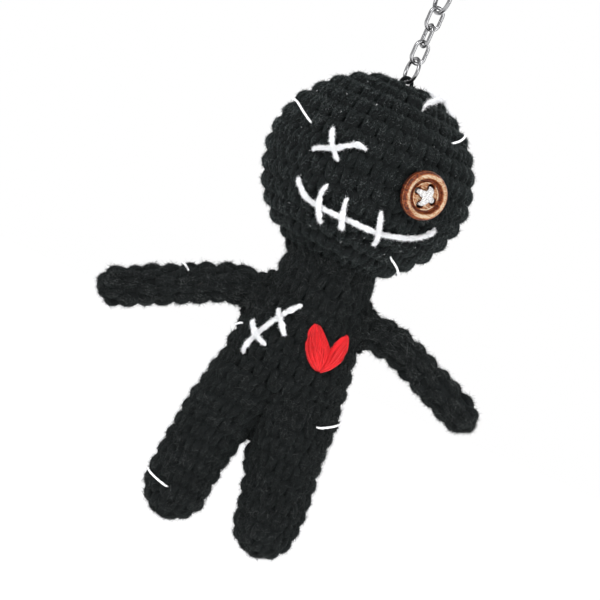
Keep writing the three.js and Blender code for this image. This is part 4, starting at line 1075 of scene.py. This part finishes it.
# scar over the top of the head
def crown_strand(name, pts, replaces, seed, height=0.45):
    pts = np.array(pts, float)
    raw = smooth_line(pts, 60)
    b = HEAD_A * HEAD_DEPTH
    z = HEAD_TOP * np.sqrt(np.clip(1 - (raw[:, 0] / HEAD_A) ** 2 - (raw[:, 1] / b) ** 2, 0, 1))
    P = np.stack([raw[:, 0], raw[:, 1], z], -1)
    N = unit(np.stack([P[:, 0] / HEAD_A ** 2, P[:, 1] / b ** 2, P[:, 2] / HEAD_TOP ** 2], -1))
    P = swell(P, head_surf)
    k = np.clip(np.minimum(np.arange(60), 59 - np.arange(60)) / 6, 0, 1)
    k = k * k * (3 - 2 * k)
    C = P + N * (height + raw[:, 2] - 1.5 * (1 - k))[:, None]
    R = YR * (0.75 + 0.25 * k)
    ob = make(name, plied(C, N, R * 1.1, seed), WHITE)
    h = make(name + "_nap", down([(C[None], N[None], R[None])], 2200, seed, length=0.9, width=0.05, flat=0.6), WHITE_FUZZ)
    for o in (ob, h):
        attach(o, "head")
    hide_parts(replaces)


crown_strand("head_scar_strand", [(6.5, -12.8, 0), (7.4, -9.9, 0), (8.35, -6.4, 0), (9.2, -2.5, 0.3), (10.0, 2.2, 1.0), (10.8, 6.2, 0)], "head_scar_stitch", 251, height=0.4)
crown_strand("head_scar_line", [(4.4, 2.6, 0), (7.5, 2.4, 0), (10.8, 2.3, 0), (14.0, 2.3, 0), (17.0, 2.2, 0)], "head_scar_yarn", 252, height=0.0)


# ------------------------------------------------------------------ heart in satin stitch
LEFT_LOBE = ([(2.72, -40.62), (2.42, -43.24), (3.08, -46.12), (4.08, -48.5), (5.55, -50.15), (7.18, -51.32), (8.58, -51.80)],
             [(3.15, -40.15), (4.75, -41.05), (6.45, -42.55), (7.90, -44.12), (8.95, -45.5), (9.52, -48.24), (8.86, -51.76)])
RIGHT_LOBE = ([(12.12, -39.72), (10.98, -41.45), (10.12, -43.08), (9.50, -44.75), (9.40, -46.5), (9.35, -48.91), (8.80, -51.66)],
              [(12.35, -39.68), (13.12, -41.46), (13.58, -43.47), (13.24, -45.80), (12.38, -48.04), (11.08, -50.05), (9.10, -51.84)])


def lobe(name, sides, node_name, seed, extra=()):
    """Satin stitches that run side by side from a lobe's tip to the heart's point, over a padding layer."""
    c = np.array([8.4, -46.1])
    A, B = (c + (smooth_line(line, 60) - c) * 0.965 for line in sides)
    g = np.random.default_rng(seed)
    parts = []

    def lay(xz, r, lift):
        P, N = on(torso_sec, xz[:, 1], front_phi(torso_sec, xz[:, 0], xz[:, 1]), 0.0)
        P = swell(P, torso_surf)
        e = np.linspace(0, 1, len(xz))
        thin = 0.55 + 0.45 * np.clip(np.minimum(e, 1 - e) / 0.14, 0, 1)
        parts.append(tubes((P + N * lift[:, None])[None], N[None], (r * thin)[None], 10, plies=2, amp=0.07, pitch=3.6, phase=g.uniform(0, TAU, 1)))
    for count, r, top in ((13, 0.42, 0.28), (16, 0.31, 0.74), (13, 0.2, 1.12)):
        for w in np.linspace(0.05 if r > 0.4 else 0.01, 0.95 if r > 0.4 else 0.99, count):
            w = np.clip(w + g.normal(0, 0.012), 0, 1)
            k = w + g.normal(0, 0.035 if r > 0.25 else 0.09) * np.sin(np.linspace(0, TAU * g.uniform(0.4, 0.9), 60))
            k = np.clip(k, 0, 1)[:, None]
            xz = A * (1 - k) + B * k
            i0, i1 = g.uniform(0, 2.0), 59 - g.uniform(0, 2.5)
            t = np.linspace(i0, i1, 30)
            xz = np.stack([np.interp(t, np.arange(60), xz[:, j]) for j in (0, 1)], -1)
            u = np.linspace(0, 1, 30)
            round_ = 1 - (2 * w - 1) ** 2
            lift = (top * (0.42 + 0.58 * round_ ** 0.7) + 0.45 * round_) * np.clip(np.sin(np.pi * (0.02 + 0.96 * u)), 0, 1) ** 0.3 - 0.1 + g.normal(0, 0.06)
            lift = lift - 0.9 * (1 - np.clip(np.minimum(u, 1 - u) / 0.05, 0, 1))
            lay(xz, r * g.uniform(0.92, 1.08), lift)
    for pts in extra:
        xz = smooth_line(pts, 30)
        u = np.linspace(0, 1, 30)
        lay(xz, 0.27, 1.25 * np.clip(np.sin(np.pi * (0.03 + 0.94 * u)), 0, 1) ** 0.35 - 0.1)
    ob = make(name, join(*parts), RED)
    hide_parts(node_name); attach(ob, "torso")


lobe("heart_left_satin", LEFT_LOBE, "heart_left_lobe", 61)
lobe("heart_right_satin", RIGHT_LOBE, "heart_right_lobe", 62, extra=([(9.12, -51.60), (10.92, -49.50), (12.48, -47.15), (13.24, -45.13)], [(9.09, -51.34), (10.29, -49.02), (11.64, -46.63), (12.48, -44.47)]))


# ------------------------------------------------------------------ button eye
BUTTON_R, BUTTON_T = 6.25, 2.8
HOLE_R, HOLE_AT, HOLE_TURN = 0.85, 2.6, math.radians(-12)
eye_p, eye_n = on(head_sec, np.float64(0.1), front_phi(head_sec, 14.65, 0.1), 0.4)
eye_n = np.array([eye_n[0], eye_n[1], 0.0]); eye_n = eye_n / np.linalg.norm(eye_n)
eye_u = unit(np.cross(np.array([0, 0, 1.0]), eye_n))
eye_v = np.array([0, 0, 1.0])


def eye_to_doll(P):
    P = np.asarray(P, float)
    return eye_p + P[..., :1] * eye_u * 1.025 + P[..., 1:2] * eye_v * 1.015 + P[..., 2:3] * eye_n


T_ = BUTTON_T
profile = smooth_line([(0.001, 0.02), (2.5, 0.0), (5.2, 0.0), (5.85, 0.12), (6.2, 0.5), (6.28, 1.1), (6.25, 1.7), (6.12, 2.2), (5.85, 2.56), (5.4, 2.76), (4.95, 2.78), (4.62, 2.62),
                       (4.42, 2.3), (4.3, 1.95), (4.1, 1.78), (3.88, 1.78), (3.72, 1.98), (3.6, 2.24), (3.40, 2.32), (3.1, 2.22), (2.4, 2.08), (1.2, 2.0), (0.001, 1.98)], 120)
seg = 144
ang = TAU * np.arange(seg) / seg
ring_pts = np.stack([profile[:, :1] * np.cos(ang), profile[:, :1] * np.sin(ang), np.broadcast_to(profile[:, 1:], (len(profile), seg))], -1)
wob = 1 + 0.004 * np.sin(3 * ang + 1) + 0.003 * np.sin(5 * ang)
ring_pts[..., 0] *= wob; ring_pts[..., 1] *= wob
vb, fb = grid(ring_pts, pole0=True, pole1=True)
blank = make("button_eye_wood", (eye_to_doll(vb), fb), WOOD)
cut_parts = []
for i in range(4):
    a = HOLE_TURN + i * TAU / 4
    c = np.array([HOLE_AT * math.cos(a), HOLE_AT * math.sin(a)])
    zz = np.array([-1.0, 1.55, 1.9, 2.02, 2.12, 2.3, 4.0])
    rr = np.array([HOLE_R, HOLE_R, HOLE_R * 1.02, HOLE_R * 1.08, HOLE_R * 1.2, HOLE_R * 1.36, HOLE_R * 1.5])
    b_ = TAU * np.arange(32) / 32
    pr = np.stack([c[0] + rr[:, None] * np.cos(b_), c[1] + rr[:, None] * np.sin(b_), np.broadcast_to(zz[:, None], (len(zz), 32))], -1)
    v, f = grid(pr, pole0=True, pole1=True)
    cut_parts.append((eye_to_doll(v), f))
drill = make("drill", join(*cut_parts), WOOD)
for o in (blank, drill):
    bpy.context.view_layer.objects.active = o
    bm = bmesh.new(); bm.from_mesh(o.data)
    bmesh.ops.remove_doubles(bm, verts=bm.verts, dist=1e-7)
    bmesh.ops.recalc_face_normals(bm, faces=bm.faces)
    bm.to_mesh(o.data); bm.free()
mod = blank.modifiers.new("holes", "BOOLEAN")
mod.operation, mod.object, mod.solver = "DIFFERENCE", drill, "EXACT"
dg = bpy.context.evaluated_depsgraph_get()
cut = bpy.data.meshes.new_from_object(blank.evaluated_get(dg))
blank.modifiers.clear()
old = blank.data
blank.data = cut
bpy.data.meshes.remove(old)
bpy.data.objects.remove(drill)
co = np.empty(len(cut.vertices) * 3, np.float32)
cut.vertices.foreach_get("co", co)
co = co.reshape(-1, 3) / MM - OFF - eye_p
rad_ = np.hypot(co @ eye_u, co @ eye_v)
hgt = co @ eye_n
stain = np.clip(1.08 - 0.10 * hgt, 0, 1.1)                              # darker towards the back of the button: its side wall and back
# painted highlight: a pale line round the side wall near its top
stain = stain - 0.55 * np.exp(-((hgt - 1.85) / 0.13) ** 2) * (rad_ > 5.8)
lit_side = np.cos(np.arctan2(co @ eye_v, co @ eye_u) - 0.35)                   # the side the light falls from: the painted highlight on the raised edge and the painted shade in the ring recess grow towards it
# pale band on the raised edge's top: the wood's worn tone, moved outwards on the lit side as painted highlight
rim_tone_and_highlight = np.exp(-(np.abs(rad_ - 5.16 - 0.26 * lit_side) / (0.66 - 0.04 * lit_side)) ** 6) * (hgt > 1.9)
disc = (rad_ < 3.58) * (hgt > 1.7)
# painted shade: the ring recess darkened, widest on the lit side
groove_shade = np.exp(-(np.abs(rad_ - 4.20 - 0.11 * lit_side) / (0.37 + 0.15 * lit_side)) ** 4) * (hgt > 1.5)
ring_line = np.exp(-((rad_ - 3.18) / 0.10) ** 2) * (hgt > 1.7)
lip = np.exp(-((rad_ - 3.52) / 0.16) ** 2) * (hgt > 1.9)
stain = stain * (1 - rim_tone_and_highlight) + 0.17 * rim_tone_and_highlight
stain = np.where(disc, 0.27 + 0.16 * np.exp(-((rad_ - 2.75) / 0.10) ** 2), stain)
stain = np.clip(stain * (1 - groove_shade) + 0.80 * groove_shade + 0.30 * ring_line, 0, 1.1) * (1 - lip) + 0.04 * lip
hole_d = np.min([np.hypot(co @ eye_u - HOLE_AT * math.cos(HOLE_TURN + i * TAU / 4), co @ eye_v - HOLE_AT * math.sin(HOLE_TURN + i * TAU / 4)) for i in range(4)], axis=0)
# painted shade: darker in and round the four holes
stain = np.where((hole_d < HOLE_R * 1.3), np.clip(stain + 0.45, 0, 1), stain)
at = cut.attributes.new("stain", "FLOAT", "POINT")
at.data.foreach_set("value", stain.astype(np.float32))
cut.polygons.foreach_set("use_smooth", np.ones(len(cut.polygons), bool))
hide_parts("button_eye"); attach(blank, "button")

parts = []
g = np.random.default_rng(77)
for bar in range(2):
    a = HOLE_TURN + bar * TAU / 4
    c_, s_ = math.cos(a), math.sin(a)
    for kk, o in enumerate((-0.52, -0.18, 0.18, 0.52, -0.35, 0.0, 0.35)):
        top = (0.30 if kk < 4 else 0.72) + 0.38 * bar
        o = 1.25 * o + g.normal(0, 0.05)
        e = HOLE_AT - 0.14
        pin = 0.36
        pts = [(-e, o * pin, 0.2), (-e + 0.02, o * pin, 1.3), (-e + 0.12, o * 0.45, 2.05 + top * 0.4), (-e + 0.75, o * 0.76, 2.35 + top), (-0.9, o * 1.08, 2.55 + top + g.normal(0, 0.05)),
               (0.9, o * 1.08, 2.55 + top + g.normal(0, 0.05)), (e - 0.75, o * 0.76, 2.35 + top), (e - 0.12, o * 0.45, 2.05 + top * 0.4), (e - 0.02, o * pin, 1.3), (e, o * pin, 0.2)]
        ln = smooth_line(pts, 56)
        ln = np.stack([ln[:, 0] * c_ - ln[:, 1] * s_, ln[:, 0] * s_ + ln[:, 1] * c_, ln[:, 2]], -1)
        C = eye_to_doll(ln)
        side_ = eye_to_doll(np.array([-s_, c_, 0.0])[None]) - eye_p
        Tn = unit(np.gradient(C, axis=0))
        N = unit(np.cross(np.broadcast_to(side_, Tn.shape), Tn))
        parts.append(tubes(C[None], N[None], np.full((1, 56), 0.30), 10, plies=2, amp=0.13, pitch=1.5, phase=g.uniform(0, TAU, 1)))
thread = make("button_thread_cross", join(*parts), BUTTON_THREAD)
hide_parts("button_thread"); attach(thread, "button")


# ------------------------------------------------------------------ hardware
YAW = math.radians(25)
YM = np.array([[math.cos(YAW), -math.sin(YAW), 0], [math.sin(YAW), math.cos(YAW), 0], [0, 0, 1]])
ZAX = np.array([0, 0, 1.0])


def wire_ring(name, R, r, straight, zc, across, node_name, body, gap_at=0.0):
    """A wire ring or oval link, bent from wire, with its fine butt joint. It stands in XZ, or in YZ if across."""
    M, n = 150, 20
    g0 = 0.012 / R
    a = np.linspace(gap_at + g0, gap_at + TAU - g0, M)
    x, z = R * np.cos(a), R * np.sin(a)
    z = z + np.where(np.abs(z) > 1e-9, np.sign(z), 0) * straight / 2
    if straight:                                    # the butt joint is in the middle of a straight side
        x, z = np.concatenate([[R], x, [R]]), np.concatenate([[0.012], z, [-0.012]])
    # even out the straight sides
    L = np.concatenate([[0], np.cumsum(np.hypot(np.diff(x), np.diff(z)))])
    t = np.linspace(0, L[-1], M)
    x, z = np.interp(t, L, x), np.interp(t, L, z)
    C = np.stack([0 * x, x, z], -1) if across else np.stack([x, 0 * x, z], -1)
    N = np.broadcast_to(np.array([1.0, 0, 0]) if across else np.array([0, 1.0, 0]), C.shape).copy()
    C = C @ YM.T + np.array([0, 0, zc])
    N = N @ YM.T
    Rr = np.full(M, r)
    Rr[0] = Rr[-1] = r * 0.9
    ob = make(name, tubes(C[None], N[None], Rr[None], n, cap=0.0), STEEL)
    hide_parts(node_name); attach(ob, body)


wire_ring("crown_jump_ring", 3.3, 0.5, 0, 25.3 + 3.3, True, "crown_ring", "crown_ring", gap_at=math.radians(62))
lo = 31.9 - 1.3
for i in range(3):
    wire_ring(f"oval_link_{i + 1}", 1.8, 0.5, 2.4, lo + 3.0, i % 2 == 1, f"chain_link_{i + 1}", f"chain_link_{i + 1}", gap_at=0.0)
    lo = lo + 6.0 - 1.3
wire_ring("top_jump_ring", 3.85, 0.55, 0, 44.65 + 3.85, True, "top_ring", "top_ring", gap_at=math.radians(20))

# split ring: two turns of flat-sided wire
KR, KH, KW, KP, KC = 11.2, 0.85, 0.575, 1.3, 61.55
M = 420
deg = np.linspace(20, 700, M)
sm = np.clip((deg - 342) / 36, 0, 1)
sm = sm * sm * (3 - 2 * sm)
a = np.radians(deg)
C = np.stack([KR * np.cos(a), (sm - 0.5) * KP, KR * np.sin(a)], -1)
rad_dir = np.stack([np.cos(a), 0 * a, np.sin(a)], -1)
sec_a = TAU * (np.arange(24) + 0.5) / 24
sx = KH * np.sign(np.cos(sec_a)) * np.abs(np.cos(sec_a)) ** 0.5
sy = KW * np.sign(np.sin(sec_a)) * np.abs(np.sin(sec_a)) ** 0.5
endk = np.clip(np.minimum(deg - 20, 700 - deg) / 2.5, 0, 1)
endk = 0.72 + 0.28 * np.sqrt(endk)
V = C[:, None] + (sx[None] * endk[:, None])[..., None] * rad_dir[:, None] + (sy[None] * endk[:, None])[..., None] * np.array([0, 1.0, 0])
V = V @ YM.T + np.array([0, 0, KC])
ring_ob = make("split_key_ring", grid(V, pole0=True, pole1=True, flip=True), STEEL)
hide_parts("key_ring"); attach(ring_ob, "key_ring")

# yarn loop at the crown
pts = [(-2.1, 0, 22.4), (-1.75, 0, 23.7)] + [(1.65 * math.cos(math.pi * (1 - i / 8)), 0, 24.75 + 1.65 * math.sin(math.pi * (1 - i / 8))) for i in range(9)] + [(1.75, 0, 23.7), (2.1, 0, 22.4)]
C = smooth_line(pts, 60) @ YM.T
Tn = unit(np.gradient(C, axis=0))
N = unit(np.cross(np.broadcast_to(np.array([0, 1.0, 0]) @ YM.T, Tn.shape), Tn))
loop = make("crown_yarn_loop", tubes(C[None], N[None], np.full((1, 60), 0.5), 18, plies=3, amp=0.11, pitch=3.2), BLACK)
loop_hair = make("crown_yarn_loop_fuzz", fuzz([(C[None], N[None], np.full((1, 60), 0.5))], 160, 91, length=0.6, width=0.028), BLACK_FUZZ)
for o in (loop, loop_hair):
    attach(o, "head")
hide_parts("crown_loop")


# ------------------------------------------------------------------ sewing seams at neck and shoulders: whip stitches of black yarn
def whip(name, pairs, node_name, bodies, seed, rise=(-1.5, 1.15)):
    parts, roots = [], []
    g = np.random.default_rng(seed)
    for (p0, n0), (p1, n1) in pairs:
        M = 16
        t = np.linspace(0, 1, M)[:, None]
        C = p0 * (1 - t) + p1 * t
        N = unit(n0 * (1 - t) + n1 * t)
        C = C + N * (rise[0] + rise[1] * np.sin(np.pi * t) ** 0.6)
        parts.append(tubes(C[None], N[None], np.full((1, M), 0.62 * g.uniform(0.92, 1.08)), 10, flat=0.9, plies=3, amp=0.08, pitch=4.0))
        roots.append((C[None], N[None], np.full((1, M), 0.62)))
    ob = make(name, join(*parts), BLACK)
    hair = make(name + "_fuzz", down(roots, 90 * len(pairs), seed + 1, length=1.0, width=0.047), BODY_FUZZ)
    for o in (ob, hair):
        if isinstance(bodies, str):
            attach(o, bodies)
        else:
            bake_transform(o)
    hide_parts(node_name)


pairs = []
for i in range(18):
    f = TAU * i / 18
    h_p, h_n = on(head_sec, np.float64(-23.6), np.float64(f), 0.0)
    t_p, t_n = on(torso_sec, np.float64(-26.4), np.float64(f + 0.14), 0.0)
    pairs.append(((h_p, h_n), (t_p, t_n)))
whip("neck_whip_seam", pairs, "neck_seam", ("head", "torso"), 301)
for side, surf in (("left", left_arm_surf), ("right", right_arm_surf)):
    parts, roots = [], []
    g = np.random.default_rng(310 + (side == "right"))
    for i in range(13):
        u = (i + 0.3) / 13
        ss = np.linspace(0.2, 16, 160)
        P, N = surf.at(ss, np.full(160, u))
        cx, hw, hd = torso_sec(P[:, 2])
        hidden = ((P[:, 0] - cx) / hw) ** 2 + (P[:, 1] / hd) ** 2 < 1
        k = int(np.argmin(hidden)) if not hidden.all() else 159
        s_c = ss[k]
        (pa,), (na,) = surf.at(np.array([s_c + 1.7]), np.array([u + 0.02]))
        (pc,), (nc,) = surf.at(np.array([s_c]), np.array([u]))
        pt = pc + nc * 1.5
        cx, hw, hd = torso_sec(pt[2])
        q = unit(np.array([(pt[0] - cx) / hw, pt[1] / hd]))
        pt = np.array([cx + hw * q[0], hd * q[1], pt[2]])
        nt_ = unit(np.array([q[0] / hw, q[1] / hd, 0.0]))
        nm = unit(nt_ + nc)
        ln = smooth_line([pt - nt_ * 1.3, pt - nt_ * 0.15, pc + nm * 0.25, pa - na * 0.15, pa - na * 1.3], 20)
        nn = unit(np.linspace(nt_, na, 20))
        parts.append(tubes(ln[None], nn[None], np.full((1, 20), 0.6 * g.uniform(0.92, 1.08)), 10, flat=0.9, plies=3, amp=0.08, pitch=4.0))
        roots.append((ln[None], nn[None], np.full((1, 20), 0.6)))
    ob = make(side + "_shoulder_whip_seam", join(*parts), BLACK)
    hair = make(side + "_shoulder_whip_nap", down(roots, 1800, 330, width=0.047, length=1.0), BODY_FUZZ)
    for o in (ob, hair):
        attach(o, "torso")
    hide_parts(side + "_shoulder_seam")


# white lint caught in the nap of the face
g = np.random.default_rng(404)
spots = [(-4.7, 16.0, 4), (-12.6, 15.6, 4), (-12.0, 11.0, 3), (-19.6, 13.5, 3), (-19.5, 3.4, 2), (3.2, 18.4, 1), (4.6, 9.6, 1), (12.5, 12.0, 1), (-7.6, -18.0, 2),
         (1.0, -18.6, 2), (5.8, -15.4, 2), (18.4, -12.3, 3), (-14.6, -14.8, 1), (15.4, -14.6, 3), (12.0, -17.0, 2), (-9.0, 20.5, 2), (20.5, 8.0, 1)]
P, D = [], []
for x, z, many in spots:
    p, n = on(head_sec, np.float64(z), front_phi(head_sec, x, z), 0.72)
    for _ in range(many):
        P.append(p + g.normal(0, 0.10, 3)); D.append(unit(g.standard_normal(3) + n * 0.6))
P, D = np.array(P), np.array(D)
lint = make("white_lint", nap(P, D, g.uniform(0.2, 0.5, len(P)), np.full(len(P), 0.04), g), WHITE_FUZZ)
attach(lint, "head")


# ------------------------------------------------------------------ stage: pale floor, white surroundings, soft studio light
floor_mat = bpy.data.materials.new("floor")
nt, b = nodes_of(floor_mat)
b.inputs["Base Color"].default_value = (0.93, 0.93, 0.93, 1)
b.inputs["Roughness"].default_value = 0.9
b.inputs["Specular IOR Level"].default_value = 0.0
b.inputs["Emission Color"].default_value = (1, 1, 1, 1)
b.inputs["Emission Strength"].default_value = 0.62
fm = bpy.data.meshes.new("floor")
fm.from_pydata([(-12, -12, -0.222), (12, -12, -0.222), (12, 12, -0.222), (-12, 12, -0.222)], [], [(0, 1, 2, 3)])
fm.materials.append(floor_mat)
floor = bpy.data.objects.new("floor", fm)
bpy.context.scene.collection.objects.link(floor)

world = bpy.data.worlds.new("studio")
bpy.context.scene.world = world
world.use_nodes = True
nt = world.node_tree
nt.nodes.clear()
out = nt.nodes.new("ShaderNodeOutputWorld")
bg = nt.nodes.new("ShaderNodeBackground")
tc = nt.nodes.new("ShaderNodeTexCoord")
sp = nt.nodes.new("ShaderNodeSeparateXYZ")
rp = nt.nodes.new("ShaderNodeValToRGB")
nt.links.new(tc.outputs["Generated"], sp.inputs[0])
nt.links.new(sp.outputs["Z"], rp.inputs[0])
rp.color_ramp.elements[0].position, rp.color_ramp.elements[0].color = 0.30, (1.0, 1.0, 1.0, 1)
rp.color_ramp.elements[1].position, rp.color_ramp.elements[1].color = 0.62, (0.30, 0.30, 0.31, 1)
nt.links.new(rp.outputs[0], bg.inputs[0])
bg.inputs[1].default_value = 1.0
nt.links.new(bg.outputs[0], out.inputs[0])


def area(name, loc, target, size, power, color=(1, 1, 1)):
    ld = bpy.data.lights.new(name, "AREA")
    ld.shape, ld.size, ld.energy, ld.color = "DISK", size, power, color
    ob = bpy.data.objects.new(name, ld)
    bpy.context.scene.collection.objects.link(ob)
    d = Vector(target) - Vector(loc)
    ob.location = loc
    ob.rotation_mode = "QUATERNION"
    ob.rotation_quaternion = d.to_track_quat("-Z", "Y")
    ob.visible_camera = False
    return ob


mid = (0, 0, -0.10)
area("key", (-0.55, -0.75, 0.55), mid, 0.45, 11.0)
area("fill", (0.75, -0.65, 0.15), mid, 0.6, 6.5)
area("back", (0.35, 0.9, 0.45), mid, 0.5, 7.0)
area("top", (0.0, 0.1, 0.9), mid, 0.7, 4.0)

sc = bpy.context.scene
sc.view_settings.view_transform = "Standard"
sc.view_settings.look = "None"
sc.view_settings.exposure = 0.0
